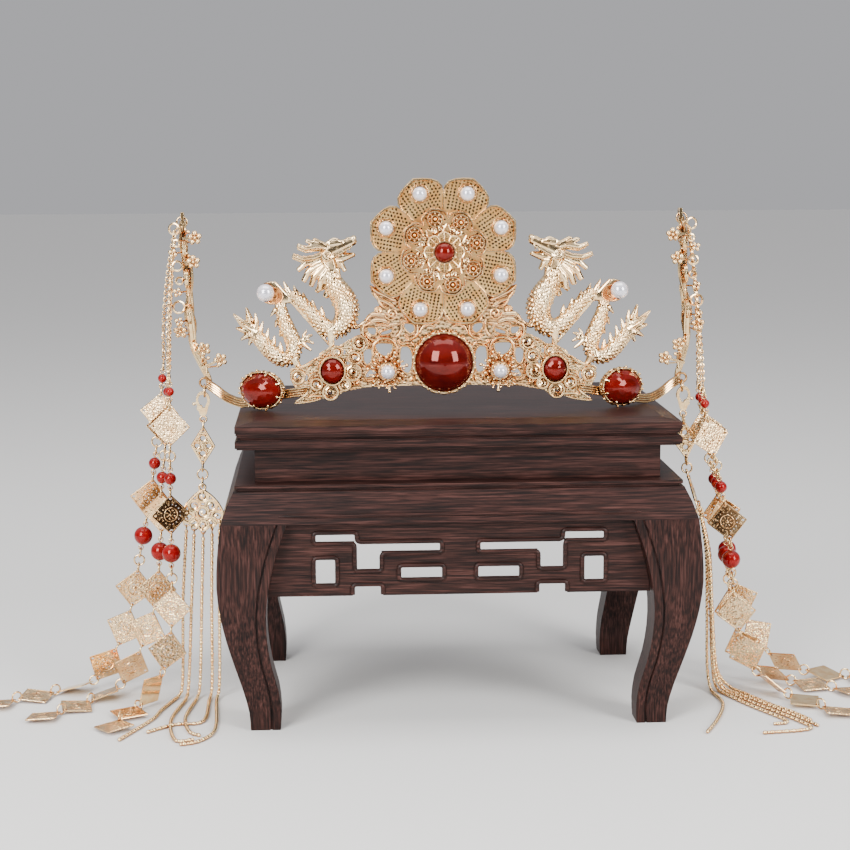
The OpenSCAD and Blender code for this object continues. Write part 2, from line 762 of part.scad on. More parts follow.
module branch(reach, lean, foot) {
    top = 71.6 * [sin(lean), cos(lean)];
    bend = (bend_z - foot_z) * [sin(lean + foot), cos(lean + foot)];
    high = atan2(top.x - bend.x, top.y - bend.y);
    translate([105.1 * reach, -4, foot_z]) {
        rotate([0, lean, 0]) translate([0, 0, -foot_z]) branch_plate(140, foot_z + 1.5);
        rotate([0, lean + foot, 0]) translate([0, 0, -foot_z]) {
            branch_plate(foot_z - 1.5, bend_z + 1.5);
            for (row = branch_flowers) if (row.z < bend_z) branch_flower(row);
        }
        translate([top.x, 0, top.y]) rotate([0, high, 0]) translate([0, 0, -foot_z - 71.6]) {
            branch_plate(bend_z - 3, 230);
            for (row = branch_flowers) if (row.z > bend_z) branch_flower(row);
        }
    }
}

// Lobster clasp, drawn facing the front: the open loop at the origin, its eye below
clasp_thick = 2;
lever_thick = 1.2;
pivot = [1.9, -3.6];

module clasp_shape() {
    difference() {
        union() {
            scale([1, 1.25]) circle(3.2, $fn = 48);
            polygon([[-2.9, -1], [2.9, -1], [1.5, -6.4], [-1.5, -6.4]]);
            translate([0, -5.6]) circle(1.6, $fn = 32);
        }
        scale([1, 1.25]) circle(2, $fn = 48);
        polygon([[-1.9, -0.8], [0.9, -0.8], [0.2, -3.4], [-0.7, -3.4]]);
        translate([1, -2.2]) square([4, 4.6]);
    }
}

module clasp_body() {
    rotate([90, 0, 0]) difference() {
        union() {
            linear_extrude(height = clasp_thick, center = true) clasp_shape();
            translate([pivot.x - 0.3, pivot.y, 0])
                cylinder(h = clasp_thick, r = 1.2, $fn = 24, center = true);
        }
        difference() {
            translate([pivot.x - 1.6, pivot.y - 1.6, -lever_thick / 2 - 0.15])
                cube([5, 6, lever_thick + 0.3]);
            translate([pivot.x, pivot.y, 0]) cylinder(h = 5, r = 0.42, $fn = 20, center = true);
        }
    }
    translate([0, 0, -8.6]) rotate([90, 0, 0]) torus(2.8, 0.9);
}

module lever_shape() {
    difference() {
        union() {
            intersection() {
                scale([1, 1.25]) ring_shape(2.6, 1);
                translate([1.25, -2.6]) square([4, 4.9]);
            }
            translate(pivot) circle(1, $fn = 24);
            bar_shape([pivot.x, pivot.y], [2.3, -1.8], 1.1);
            bar_shape([2.6, -1], [3.9, -1.6], 0.8);
        }
        translate(pivot) circle(0.55, $fn = 20);
    }
}

module lever_body() {
    rotate([90, 0, 0]) {
        linear_extrude(height = lever_thick, center = true) lever_shape();
        translate([4, -1.7, 0]) sphere(0.8, $fn = 20);
    }
}

// Hanging places of the two sides: clasp centre, turn about the upright
left_eye = [crown_x - eye_spot.x * left_reach, eye_spot.y, eye_spot.z];
right_eye = [crown_x + eye_spot.x * right_reach, eye_spot.y, eye_spot.z];
left_clasp = left_eye - [0.8, 0, 7.9];
right_clasp = right_eye - [-0.8, 0, 7.9];
left_tilt = 2;
right_tilt = -5;
left_turn = 180;
right_turn = 0;

module clasp_frame(place, turn) {
    translate(place) rotate([0, 0, turn]) children();
}

// Tassel top: ring, pierced diamond, rings, all on one upright
module jump_ring(mean, wire, turn) {
    rotate([90, 0, turn]) torus(mean, wire);
}

module diamond() {
    rotate([90, 0, 0]) {
        linear_extrude(height = 0.8, center = true) difference() {
            polygon([[0, 8.8], [5.4, 0], [0, -8.8], [-5.4, 0]]);
            for (s = [-1, 1]) {
                translate([0, 7.1 * s]) circle(0.7, $fn = 20);
                translate([0, 3.4 * s]) circle(1.2, $fn = 20);
                translate([2.6 * s, 0]) circle(1.1, $fn = 20);
            }
        }
        cylinder(h = 1.8, r = 1, $fn = 20, center = true);
    }
}

// Depth below the clasp at which each fan hangs
left_drop = 39.75;
right_drop = 36.1;

module tassel(eye, place, tilt, drop) {
    translate(eye - [0, 0, 3.7]) jump_ring(5.4, 0.8, 90);
    translate(place - [0, 0, 8.6]) rotate([0, tilt, 0]) translate([0, 0, 8.6]) {
        translate([0, 0, -11.35]) jump_ring(4.6, 0.8, 90);
        translate([0, 0, -20.75]) diamond();
        translate([0, 0, -30.15]) jump_ring(4.6, 0.8, 90);
        translate([0, 0, -33.8]) jump_ring(4.6, 0.8, 0);
        if (drop > 39) translate([0, 0, -37.45]) jump_ring(4.6, 0.8, 90);
    }
}

// Scroll fan: sideways, down and radius of its lobes, and of their holes
fan_lobes = [
    [0, -4.2, 3.2, 1.5], [-3.8, -8.5, 3.2, 1.6], [3.8, -8.5, 3.2, 1.6], [-6.5, -13.6, 3.3, 1.7],
    [6.5, -13.6, 3.3, 1.7], [0, -11.6, 3.4, 1.8], [0, -17.3, 3, 1.4], [-3.7, -16, 2.8, 1.3],
    [3.7, -16, 2.8, 1.3]
];

fan_edge = [[0, -1.4], [3.4, -3.6], [6.8, -7.4], [9, -11.6]];

module fan_plate() {
    rotate([90, 0, 0]) linear_extrude(height = 1, center = true) difference() {
        union() {
            circle(1.9, $fn = 24);
            bar_shape([0, 0], [0, -3], 1.6);
            for (i = [1 : 3]) {
                a = fan_edge[i - 1];
                b = fan_edge[i];
                bar_shape(a, b, 1.3);
                bar_shape([-a.x, a.y], [-b.x, b.y], 1.3);
            }
            for (row = fan_lobes) translate([row[0], row[1]]) circle(row[2], $fn = 32);
        }
        circle(0.95, $fn = 24);
        for (row = fan_lobes) translate([row[0], row[1]]) circle(row[3], $fn = 24);
    }
}

// Fine chains of the tassels: hand chosen points from the fan to the floor
floor_z = chain_thick / 2 + 0.02;
left_fringe = [
    [[-120, -5.8, 82], [-122.5, -6, 45], [-123.5, -6, 8], [-126, -9, floor_z],
        [-131.5, -28, floor_z], [-134.5, -42, floor_z], [-146, -70, floor_z]],
    [[-116.6, -5.8, 80], [-118.6, -6, 45], [-120.6, -7, 8], [-122, -14, floor_z],
        [-126, -44, floor_z], [-122, -72, floor_z], [-114, -71, floor_z]],
    [[-112.6, -5.8, 78.4], [-114, -6, 45], [-115.5, -6, 8], [-117, -13, floor_z],
        [-120, -40, floor_z], [-117, -60, floor_z], [-112, -66, floor_z]],
    [[-108.6, -5.8, 80], [-109.5, -6, 45], [-110, -7, 8], [-111, -14, floor_z],
        [-112, -46, floor_z], [-124, -50, floor_z], [-135, -60, floor_z]],
    [[-105.2, -5.8, 82], [-106, -6, 45], [-106.6, -7, 8], [-107.6, -16, floor_z],
        [-106, -58, floor_z], [-112, -74, floor_z], [-120, -78.1, floor_z]]
];
right_fringe = [
    [[112.4, -14, 86.2], [117.6, -12, 63], [119.6, -12, 36], [121, -13, 10], [126, -17, floor_z],
        [135, -36, floor_z], [148, -62, floor_z], [150, -74, floor_z], [129, -78.15, floor_z]],
    [[113.6, -10.7, 84.4], [118.6, -9, 63], [120.2, -9.6, 36], [122.4, -11, 10],
        [127, -14, floor_z], [138, -34, floor_z], [150, -58, floor_z], [155, -70, floor_z]],
    [[114.7, -6.9, 82.9], [119.2, -6, 63], [120.4, -7, 36], [123, -8, 10], [130, -12, floor_z],
        [141, -36, floor_z], [148, -48, floor_z], [154, -62, floor_z]],
    [[115, -2.8, 84.4], [118, -4, 63], [118.4, -6, 36], [118.4, -9, 10], [119.4, -16, floor_z],
        [120.6, -34, floor_z], [114, -56, floor_z], [105, -76, floor_z]],
    [[114.9, 0.6, 86.2], [119.4, -1, 63], [120.4, -4, 36], [121, -8, 10], [123, -15, floor_z],
        [132, -38, floor_z], [143, -62, floor_z], [136, -66, floor_z]]
];

module fringe(routes) {
    for (p = routes) sweep(p, same(p, chain_thick / 2));
}

left_fan = left_clasp + [-(left_drop - 8.6) * sin(left_tilt), 0, 0.02 - left_drop];
right_fan = right_clasp + [-(right_drop - 8.6) * sin(right_tilt), 0, 0.1 - right_drop];

module fan_left() {
    color("gold") union() {
        translate(left_fan) fan_plate();
        fringe(left_fringe);
    }
}

module fan_right() {
    color("gold") union() {
        translate(right_fan) rotate([-18, 0, 80]) fan_plate();
        fringe(right_fringe);
    }
}

// Strands of rings, eye pins, beads and square plates
KIND = 0;
SWING = 1;
LEAN = 2;
ROLL = 3;
RING = 0;
LINK = 1;
SLACK = 1.5;
PLATE = 2;
SMALL = 4;
MEDIUM = 5.4;
LARGE = 8.4;
function bead_length(d) = d + 2 * (loop_mean + 0.35);
function pitch(kind) =
    kind == RING ? pitch_ring : kind == LINK ? pitch_ring - ring_hook
    : kind == SLACK ? pitch_ring * sin(60)
    : kind == PLATE ? pitch_square : bead_length(kind);
function heading(row) = [
    -cos(row[LEAN]) * sin(row[SWING]), sin(row[LEAN]), -cos(row[LEAN]) * cos(row[SWING])
];
function places(rows, start) = [
    for (i = 0, p = start; i < len(rows);
        p = p + pitch(rows[i][KIND]) * heading(rows[i]), i = i + 1) p
];

module square_plate() {
    half = pitch_square / 2;
    translate([0, 0, -half]) rotate([90, 0, 0]) linear_extrude(height = square_thick, center = true)
        difference() {
            rotate([0, 0, 45]) square(square_side, center = true);
            for (s = [-1, 1]) translate([0, s * half]) circle(0.85, $fn = 20);
        }
}

module eye_pin(d) {
    long = bead_length(d);
    for (z = [0, -long]) translate([0, 0, z]) rotate([90, 0, 0])
        torus(2 * loop_mean, loop_wire);
    translate([0, 0, -long + loop_mean]) cylinder(h = long - 2 * loop_mean, d = 0.7, $fn = 16);
}

module bead(d) {
    translate([0, 0, -bead_length(d) / 2]) difference() {
        sphere(d = d, $fn = 32);
        cylinder(h = d + 2, d = 1, $fn = 16, center = true);
    }
}

module element(row) {
    kind = row[KIND];
    if (kind == RING) translate([0, 0, -ring_mean / 2]) jump_ring(ring_mean, ring_wire, 90);
    if (kind == LINK) translate([0, 0, -ring_mean / 2 + ring_hook])
        jump_ring(ring_mean, ring_wire, 90);
    if (kind == SLACK) translate([0, ring_mean / 2 * cos(60), -ring_mean / 2 * sin(60)])
        jump_ring(ring_mean, ring_wire, 90);
    if (kind == PLATE) square_plate();
    if (kind > PLATE) eye_pin(kind);
}

module strand(rows, start) {
    spots = places(rows, start);
    for (i = [0 : len(rows) - 1])
        translate(spots[i]) rotate([rows[i][LEAN], rows[i][SWING], 0])
            rotate([0, 0, rows[i][ROLL]]) element(rows[i]);
}

module strand_beads(rows, start) {
    spots = places(rows, start);
    for (i = [0 : len(rows) - 1]) if (rows[i][KIND] > PLATE)
        translate(spots[i]) rotate([rows[i][LEAN], rows[i][SWING], 0]) bead(rows[i][KIND]);
}

// Rows of each strand: kind, swing to the left, lean to the back and roll, in degrees
// A slack ring stands on the floor and holds two plates near its foot
a_left = [
    [RING, 6, 0, 0], [SMALL, 6, 0, 0], [RING, 6, 0, 0], [PLATE, 6, 0, -12], [RING, 7, 0, 0],
    [LINK, 7, 0, 90], [LINK, 7, 0, 0], [MEDIUM, 8, 0, 0], [RING, 9, 0, 0], [PLATE, 10, 0, 14],
    [RING, 11, 0, 0], [LARGE, 12, 0, 0], [RING, 9, 0, 0], [LINK, 9, 0, 90], [LINK, 9, 0, 0],
    [PLATE, 11, 3, 10], [RING, 18, 3, 0], [PLATE, 20, 4, -16], [RING, 30, 4, 0],
    [PLATE, 32, 4, 20], [RING, 60, 0, 46], [PLATE, 82, -30, 78], [SLACK, 90, -34, 90],
    [PLATE, 90, -34, 97], [SLACK, 90, -36, 90], [PLATE, 90, -38, 84]
];
b_left = [
    [RING, 3, 0, 0], [SMALL, 3, 0, 0], [RING, 3, 0, 0], [PLATE, 4, 0, 16], [RING, 6, 0, 0],
    [LINK, 6, 0, 90], [LINK, 6, 0, 0], [MEDIUM, 7, 0, 0], [RING, 4, 0, 0], [PLATE, 1, 0, -20],
    [RING, 4, 0, 0], [LARGE, 5, 0, 0], [RING, 4, 0, 0], [PLATE, 8, 2, 18], [RING, 16, 2, 0],
    [PLATE, 20, 4, -12], [RING, 20, 4, 0], [PLATE, 28, 6, 30], [RING, 56, -10, 54],
    [PLATE, 76, -52, 84], [SLACK, 90, -56, 90], [PLATE, 90, -56, 96], [SLACK, 90, -46, 90],
    [PLATE, 90, -40, 84]
];
c_left = [
    [RING, 1, 0, 0], [SMALL, 1, 0, 0], [RING, 1, 0, 0], [PLATE, 1, 0, -8], [RING, 1, 0, 0],
    [LINK, 1, 0, 90], [LINK, 1, 0, 0], [MEDIUM, 1, 0, 0], [RING, 0, 0, 0], [PLATE, 0, 0, 26],
    [RING, 1, 0, 0], [LARGE, 1, 0, 0], [RING, 0, 0, 0], [LINK, 0, 0, 90], [LINK, 0, 0, 0],
    [PLATE, 2, -2, -14], [RING, 6, -4, 0], [PLATE, 12, -6, 18], [RING, 20, -10, 26],
    [PLATE, 40, -30, 50], [RING, 80, -64, 76], [PLATE, 84, -72, 96], [SLACK, 90, -78, 90],
    [PLATE, 90, -80, 85]
];
a_right = [
    [RING, -6, 0, 0], [SMALL, -8, 0, 0], [RING, -9, 0, 0], [PLATE, -11, 0, 12], [RING, -12, 0, 0],
    [LINK, -12, 0, 90], [LINK, -12, 0, 0], [MEDIUM, -13, 0, 0], [RING, -13, 0, 0],
    [PLATE, -13, 0, -14], [RING, -10, 0, 0], [LARGE, -6, 0, 0], [RING, -14, 0, 0],
    [LINK, -14, 0, 90], [LINK, -14, 0, 0], [PLATE, -22, 2, -10], [RING, -26, 2, 0],
    [PLATE, -32, 4, 16], [RING, -44, 0, -20], [PLATE, -62, -2, -50], [RING, -80, -4, -76],
    [PLATE, -82, -10, -98], [SLACK, -90, -24, -90], [PLATE, -90, -44, -84], [SLACK, -90, -58, -90],
    [PLATE, -90, -66, -96]
];
b_right = [
    [RING, -6, 0, 0], [SMALL, -8, 0, 0], [RING, -9, 0, 0], [PLATE, -11, 0, -14], [RING, -12, 0, 0],
    [LINK, -12, 0, 90], [LINK, -12, 0, 0], [MEDIUM, -12, 0, 0], [RING, -11, 0, 0],
    [PLATE, -10, 0, 24], [RING, -6, 0, 0], [LARGE, -4, 0, 0], [RING, -6, 0, 0],
    [LINK, -6, 0, 90], [LINK, -6, 0, 0], [PLATE, -10, 2, 14], [RING, -16, 2, 0],
    [PLATE, -24, 2, -18], [RING, -44, 0, -34], [PLATE, -68, -10, -60],
    [RING, -84, -28, -84], [PLATE, -86, -34, -97], [SLACK, -90, -30, -90], [PLATE, -90, -26, -84]
];
c_right = [
    [RING, -6, 0, 0], [SMALL, -8, 0, 0], [RING, -10, 0, 0], [PLATE, -12, 0, 18], [RING, -13, 0, 0],
    [LINK, -13, 0, 90], [LINK, -13, 0, 0], [MEDIUM, -13, 0, 0], [RING, -12, 0, 0],
    [PLATE, -10, 0, -22], [RING, -6, 0, 0], [LARGE, -3, 0, 0], [RING, -6, 0, 0],
    [LINK, -6, 0, 90], [LINK, -6, 0, 0], [PLATE, -10, 0, -16], [RING, -16, 0, 0],
    [PLATE, -22, -4, -24], [RING, -40, -20, -50], [PLATE, -62, -50, -74],
    [RING, -80, -54, -90], [PLATE, -82, -56, -97], [SLACK, -90, -52, -90],
    [PLATE, -90, -50, -84]
];
a_left_top = [-129.5, 5, 154.1];
b_left_top = [-127, -4, 149.2];
c_left_top = [-125.6, -13, 150.35];
a_right_top = [114.4, 5, 142.9];
b_right_top = [114, -4, 142.65];
c_right_top = [113.4, -13, 142.2];

// Fine chains from the branch tops: two middle points each
function top_eye(side, reach, lean) =
    [crown_x + side * (105.1 * reach + 71.6 * sin(lean)), -0.6, 148 + 71.6 * cos(lean)];
left_hook = top_eye(-1, left_reach, left_lean) + [-0.5, 0, -2.14];
right_hook = top_eye(1, right_reach, right_lean) + [0.8, 0, -2.16];

module top_chain(from, to, bow) {
    route = [from, from + 0.34 * (to - from) + bow, from + 0.7 * (to - from) + bow, to];
    sweep(route, same(route, chain_thick / 2));
}

module top_chains(hook, a, b, c, out) {
    knot = hook + [out * 3.3, 0, -3.97];
    translate(hook) jump_ring(4.6, 0.8, 0);
    union() {
        translate(hook + [out * 2.08, 0, -2.5]) rotate([0, -40 * out, 0])
            jump_ring(3.8, 0.8, 90);
        top_chain(knot, a + [0, 0, 0.75], [out * 1.6, 2, 0]);
        top_chain(knot, b + [0, 0, 0.75], [out * 0.8, 0, 0]);
        top_chain(knot, c + [0, 0, 0.75], [out * 0.4, -2, 0]);
    }
}

// Named pieces

module leg_front_left() {
    color("brown") leg_at(-1, -1);
}

module leg_front_right() {
    color("brown") leg_at(1, -1);
}

module leg_back_left() {
    color("brown") leg_at(-1, 1);
}

module leg_back_right() {
    color("brown") leg_at(1, 1);
}

module sunburst_left() {
    color("orange") on_left() sunburst();
}

module pearl_left() {
    color("white") on_left() burst_pearl();
}

module cloud_left() {
    color("wheat") on_left() cloud();
}

module cloud_stone_left() {
    color("red") on_left() cloud_stone();
}

module oval_setting_left() {
    color("khaki") on_left() oval_setting();
}

module oval_stone_left() {
    color("red") on_left() oval_stone();
}

module dragon_left() {
    color("gold") on_left() dragon();
}

module dragon_pearl_left() {
    color("white") on_left() dragon_pearl();
}

module branch_left() {
    color("khaki") on_left() branch(left_reach, left_lean, left_foot);
}

module clasp_left() {
    color("gold") clasp_frame(left_clasp, left_turn) clasp_body();
}

module clasp_lever_left() {
    color("red") clasp_frame(left_clasp, left_turn) lever_body();
}

module tassel_left() {
    color("tan") tassel(left_eye, left_clasp, left_tilt, left_drop);
}

module top_chains_left() {
    color("gold") top_chains(left_hook, a_left_top, b_left_top, c_left_top, -1);
}

module sunburst_right() {
    color("orange") on_right() sunburst();
}

module pearl_right() {
    color("white") on_right() burst_pearl();
}

module cloud_right() {
    color("wheat") on_right() cloud();
}

module cloud_stone_right() {
    color("red") on_right() cloud_stone();
}

module oval_setting_right() {
    color("khaki") on_right() oval_setting();
}

module oval_stone_right() {
    color("red") on_right() oval_stone();
}

module dragon_right() {
    color("gold") on_right() dragon();
}

module dragon_pearl_right() {
    color("white") on_right() dragon_pearl();
}

module branch_right() {
    color("khaki") on_right() branch(right_reach, right_lean, right_foot);
}

module clasp_right() {
    color("gold") clasp_frame(right_clasp, right_turn) clasp_body();
}

module clasp_lever_right() {
    color("red") clasp_frame(right_clasp, right_turn) lever_body();
}

module tassel_right() {
    color("tan") tassel(right_eye, right_clasp, right_tilt, right_drop);
}

module top_chains_right() {
    color("gold") top_chains(right_hook, a_right_top, b_right_top, c_right_top, 1);
}

module strand_a_left() {
    color("tan") strand(a_left, a_left_top);
}

module strand_b_left() {
    color("tan") strand(b_left, b_left_top);
}

module strand_c_left() {
    color("tan") strand(c_left, c_left_top);
}

module strand_a_right() {
    color("tan") strand(a_right, a_right_top);
}

module strand_b_right() {
    color("tan") strand(b_right, b_right_top);
}

module strand_c_right() {
    color("tan") strand(c_right, c_right_top);
}

module beads_left() {
    color("red") {
        strand_beads(a_left, a_left_top);
        strand_beads(b_left, b_left_top);
        strand_beads(c_left, c_left_top);
    }
}

module beads_right() {
    color("red") {
        strand_beads(a_right, a_right_top);
        strand_beads(b_right, b_right_top);
        strand_beads(c_right, c_right_top);
    }
}

stand_top();
stand_waist();
stand_shelf();
leg_front_left();
leg_front_right();
leg_back_left();
leg_back_right();
fret_front();
fret_back();
apron_left();
apron_right();
band();
scroll_work();
flower_outer();
flower_inner();
flower_star();
flower_stone();
flower_pearls();
centre_setting();
centre_stone();
sunburst_left();
sunburst_right();
pearl_left();
pearl_right();
cloud_left();
cloud_right();
cloud_stone_left();
cloud_stone_right();
oval_setting_left();
oval_setting_right();
oval_stone_left();
oval_stone_right();
dragon_left();
dragon_right();
dragon_pearl_left();
dragon_pearl_right();
branch_left();
branch_right();
clasp_left();
clasp_right();
clasp_lever_left();
clasp_lever_right();
tassel_left();
tassel_right();
fan_left();
fan_right();
top_chains_left();
top_chains_right();
strand_a_left();
strand_b_left();
strand_c_left();
strand_a_right();
strand_b_right();
strand_c_right();
beads_left();
beads_right();
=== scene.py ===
import json
import math

import bmesh
import bpy
import numpy as np
from mathutils import Matrix, Vector
from mathutils.geometry import delaunay_2d_cdt
from numpy.linalg import norm

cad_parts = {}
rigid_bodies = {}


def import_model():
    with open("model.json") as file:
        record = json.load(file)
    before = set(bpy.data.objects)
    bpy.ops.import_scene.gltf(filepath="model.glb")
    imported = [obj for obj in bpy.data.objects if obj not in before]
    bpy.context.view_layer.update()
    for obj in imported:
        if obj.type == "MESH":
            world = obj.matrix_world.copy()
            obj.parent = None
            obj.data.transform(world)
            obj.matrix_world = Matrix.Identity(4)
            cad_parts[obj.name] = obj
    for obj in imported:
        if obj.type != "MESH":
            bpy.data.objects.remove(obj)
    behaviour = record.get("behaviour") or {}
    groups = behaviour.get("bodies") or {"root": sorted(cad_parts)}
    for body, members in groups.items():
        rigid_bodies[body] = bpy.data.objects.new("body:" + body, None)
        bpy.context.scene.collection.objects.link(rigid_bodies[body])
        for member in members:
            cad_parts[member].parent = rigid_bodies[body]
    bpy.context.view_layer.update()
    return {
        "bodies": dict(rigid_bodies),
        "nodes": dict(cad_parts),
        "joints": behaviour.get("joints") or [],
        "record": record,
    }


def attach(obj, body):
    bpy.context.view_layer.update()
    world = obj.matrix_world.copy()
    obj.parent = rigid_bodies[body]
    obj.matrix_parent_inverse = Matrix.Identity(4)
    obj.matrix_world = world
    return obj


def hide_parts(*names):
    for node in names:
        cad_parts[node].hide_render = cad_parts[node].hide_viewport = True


MM = 0.001
# The crown's middle on its stand, the front of its scroll work, and the middles of the flower,
# the centre stone, a sunburst and a cloud's stone
CROWN_X = -5.0
PLATE_Y = -33.0
FLOWER_Z = 204.8
STONE_Z = 156.8
SUNBURST = (24.5, 153)
CLOUD_STONE = (48.5, 153.6)
BODY = "crown_and_stand"

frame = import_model()
nodes = frame["nodes"]
WHITE = (1, 1, 1)
# Colour of the shade painted into the hollows of the gold materials
HOLLOW_SHADE = (0.34, 0.14, 0.045)
NO_QUADS = np.zeros((0, 4), int)


# Materials


def fill(tree, node, **values):
    """Links or sets a node's inputs, named with _ for a space, and its other settings."""
    for key, value in values.items():
        socket = node.inputs.get(key.replace("_", " "))
        if socket is None:
            setattr(node, key, value)
        elif isinstance(value, bpy.types.NodeSocket):
            tree.links.new(value, socket)
        else:
            socket.default_value = value
    return node


def add_node(tree, kind, **values):
    return fill(tree, tree.nodes.new("ShaderNode" + kind), **values)


def shader(name, **values):
    material = bpy.data.materials.new(name)
    material.use_nodes = True
    tree = material.node_tree
    return material, tree, fill(tree, tree.nodes["Principled BSDF"], **values)


def stretched_noise(tree, stretch, scale, detail, seed):
    """Noise in object coordinates, drawn out along one axis by stretch."""
    place = add_node(tree, "TexCoord").outputs["Object"]
    mapping = add_node(tree, "Mapping", Vector=place, Scale=stretch,
                       Location=(seed, seed * 0.7, seed * 1.3))
    noise = add_node(tree, "TexNoise", Vector=mapping.outputs["Vector"], Scale=scale,
                     Detail=detail)
    return noise.outputs[0]


def ramp(tree, source, stops):
    node = add_node(tree, "ValToRGB", Fac=source)
    elements = node.color_ramp.elements
    while len(elements) < len(stops):
        elements.new(0.5)
    for element, (spot, colour) in zip(elements, stops):
        element.position = spot
        element.color = (*colour, 1)
    return node.outputs["Color"]


def mixed(tree, first, second, factor, mode="MULTIPLY"):
    node = add_node(tree, "Mix", data_type="RGBA", blend_type=mode)
    node.inputs[0].default_value = factor
    tree.links.new(first, node.inputs[6])
    tree.links.new(second, node.inputs[7])
    return node.outputs[2]


def dress(tree, bsdf, colour, height, strength, distance, edge):
    """Base colour, and bump from height over edges that the shader rounds by edge mm."""
    rounded = add_node(tree, "Bevel", samples=4, Radius=edge * MM)
    bump = add_node(tree, "Bump", Strength=strength, Distance=distance * MM,
                    Height=height, Normal=rounded.outputs["Normal"])
    fill(tree, bsdf, Base_Color=colour, Normal=bump.outputs["Normal"])


def wood(name, stretch):
    material, tree, bsdf = shader(
        name, Roughness=0.46, Specular_IOR_Level=0.14, Coat_Weight=0.04, Coat_Roughness=0.2)
    streaks = stretched_noise(tree, stretch, 1.0, 6, 3.1)
    pores = stretched_noise(tree, tuple(1.7 * s for s in stretch), 1.0, 3, 7.7)
    clouds = stretched_noise(tree, tuple(0.12 * s for s in stretch), 1.0, 2, 1.3)
    base = ramp(tree, streaks, [
        (0.34, (0.007, 0.003, 0.0025)), (0.47, (0.020, 0.008, 0.006)),
        (0.56, (0.036, 0.013, 0.010)), (0.68, (0.062, 0.026, 0.021))])
    dark = ramp(tree, pores, [(0.36, (0.25, 0.2, 0.2)), (0.47, WHITE)])
    broad = ramp(tree, clouds, [(0.3, (0.62, 0.55, 0.55)), (0.65, (1.15, 1.1, 1.1))])
    colour = mixed(tree, mixed(tree, base, dark, 0.75), broad, 0.8)
    dress(tree, bsdf, colour, pores, 0.35, 0.12, 0.5)
    return material


def gold(name, pale, deep, roughness, hollow_shade=HOLLOW_SHADE, lace=0.0, edge=0.12, shade=(0.25, 0.8),
         near=2.6):
    """Metal with shade painted where surfaces meet, darkened toward the hollow colour by ambient
    occlusion, and with pits lace mm apart if lace is set.
    """
    material, tree, bsdf = shader(name, Metallic=1.0, Roughness=roughness)
    patches = stretched_noise(tree, (1, 1, 1), 240.0, 3, 2.2)
    colour = ramp(tree, patches, [(0.35, deep), (0.6, pale)])
    # Painted shade: ambient occlusion darkens the colour toward the hollow colour where surfaces
    # meet
    occlusion = add_node(tree, "AmbientOcclusion", samples=6, Distance=near * MM)
    painted_shade = ramp(tree, occlusion.outputs["AO"], [(shade[0], hollow_shade), (shade[1], WHITE)])
    colour = mixed(tree, colour, painted_shade, 1.0)
    height, strength, depth = stretched_noise(tree, (1, 1, 1), 900.0, 2, 5.5), 0.25, 0.08
    if lace:
        place = add_node(tree, "TexCoord").outputs["Object"]
        cells = add_node(tree, "TexVoronoi", Vector=place, Scale=1 / (lace * MM),
                         Randomness=0.75)
        height, strength, depth = cells.outputs["Distance"], 0.45, 0.45
        # Painted shade: the bottoms of the pits darken toward the hollow colour
        colour = mixed(tree, colour, ramp(tree, height, [(0.16, hollow_shade), (0.34, WHITE)]), 0.85)
    dress(tree, bsdf, colour, height, strength, depth, edge)
    return material


def stone(name, core, rim):
    material, tree, bsdf = shader(
        name, Roughness=0.05, IOR=1.55, Specular_Tint=(1.0, 0.22, 0.16, 1), Coat_Weight=0.25,
        Coat_Roughness=0.03, Subsurface_Weight=0.12, Subsurface_Radius=(1.0, 0.18, 0.1),
        Subsurface_Scale=0.003)
    veins = stretched_noise(tree, (1, 1, 2.2), 120.0, 4, 4.4)
    fill(tree, bsdf, Base_Color=ramp(tree, veins, [(0.3, rim), (0.62, core)]))
    return material


def painted_sheen_pearl(name):
    material, tree, bsdf = shader(
        name, Metallic=0.4, Roughness=0.2, Coat_Weight=0.9, Coat_Roughness=0.05)
    # Pearl lustre is partly the coat and partly painted by facing angle: a dark painted reflection
    # in the middle, a pale painted ring, and painted shade toward the rims
    facing_sheen = add_node(tree, "LayerWeight", Blend=0.35)
    colour = ramp(tree, facing_sheen.outputs["Facing"], [
        (0.0, (0.60, 0.59, 0.66)), (0.22, (0.86, 0.81, 0.84)), (0.6, (0.80, 0.72, 0.76)),
        (1.0, (0.52, 0.46, 0.56))])
    fill(tree, bsdf, Base_Color=colour)
    return material


# Materials by colour, roughness, colour of the shade painted into the hollows, and pits where a
# metal has them

wood_across = wood("wood_across", (58.0, 1500.0, 1500.0))
wood_up = wood("wood_up", (1500.0, 1500.0, 50.0))
PALE, WARM = (1.0, 0.74, 0.40), (0.93, 0.58, 0.26)
pale_gold = gold("pale_gold", PALE, WARM, 0.16)
petal_gold = gold("petal_gold", (1.0, 0.66, 0.28), (0.93, 0.51, 0.17), 0.29, edge=0.22)
rose_gold = gold("rose_gold", (0.93, 0.64, 0.34), (0.82, 0.46, 0.20), 0.2, (0.3, 0.1, 0.03))
plate_gold = gold("plate_gold", (0.95, 0.70, 0.40), (0.86, 0.55, 0.27), 0.24, lace=0.95)
bright_rose = gold("bright_rose", (1.0, 0.62, 0.26), (0.92, 0.46, 0.15), 0.27, (0.42, 0.14, 0.03),
                   edge=0.24)
# The dragons' gold paints the deepest shade, close and strong, into the gaps between the scales
dragon_gold = gold("dragon_gold", (1.0, 0.76, 0.44), (0.93, 0.58, 0.27), 0.16, (0.15, 0.06, 0.02),
                   shade=(0.6, 0.985), near=1.0)
lace_gold = gold("lace_gold", PALE, WARM, 0.2, lace=1.0)
scroll_gold = gold("scroll_gold", (0.92, 0.62, 0.32), (0.80, 0.44, 0.18), 0.22,
                   (0.26, 0.08, 0.02), 1.5)
cup_gold = gold("cup_gold", (0.80, 0.40, 0.15), (0.66, 0.26, 0.08), 0.26, (0.4, 0.16, 0.05))
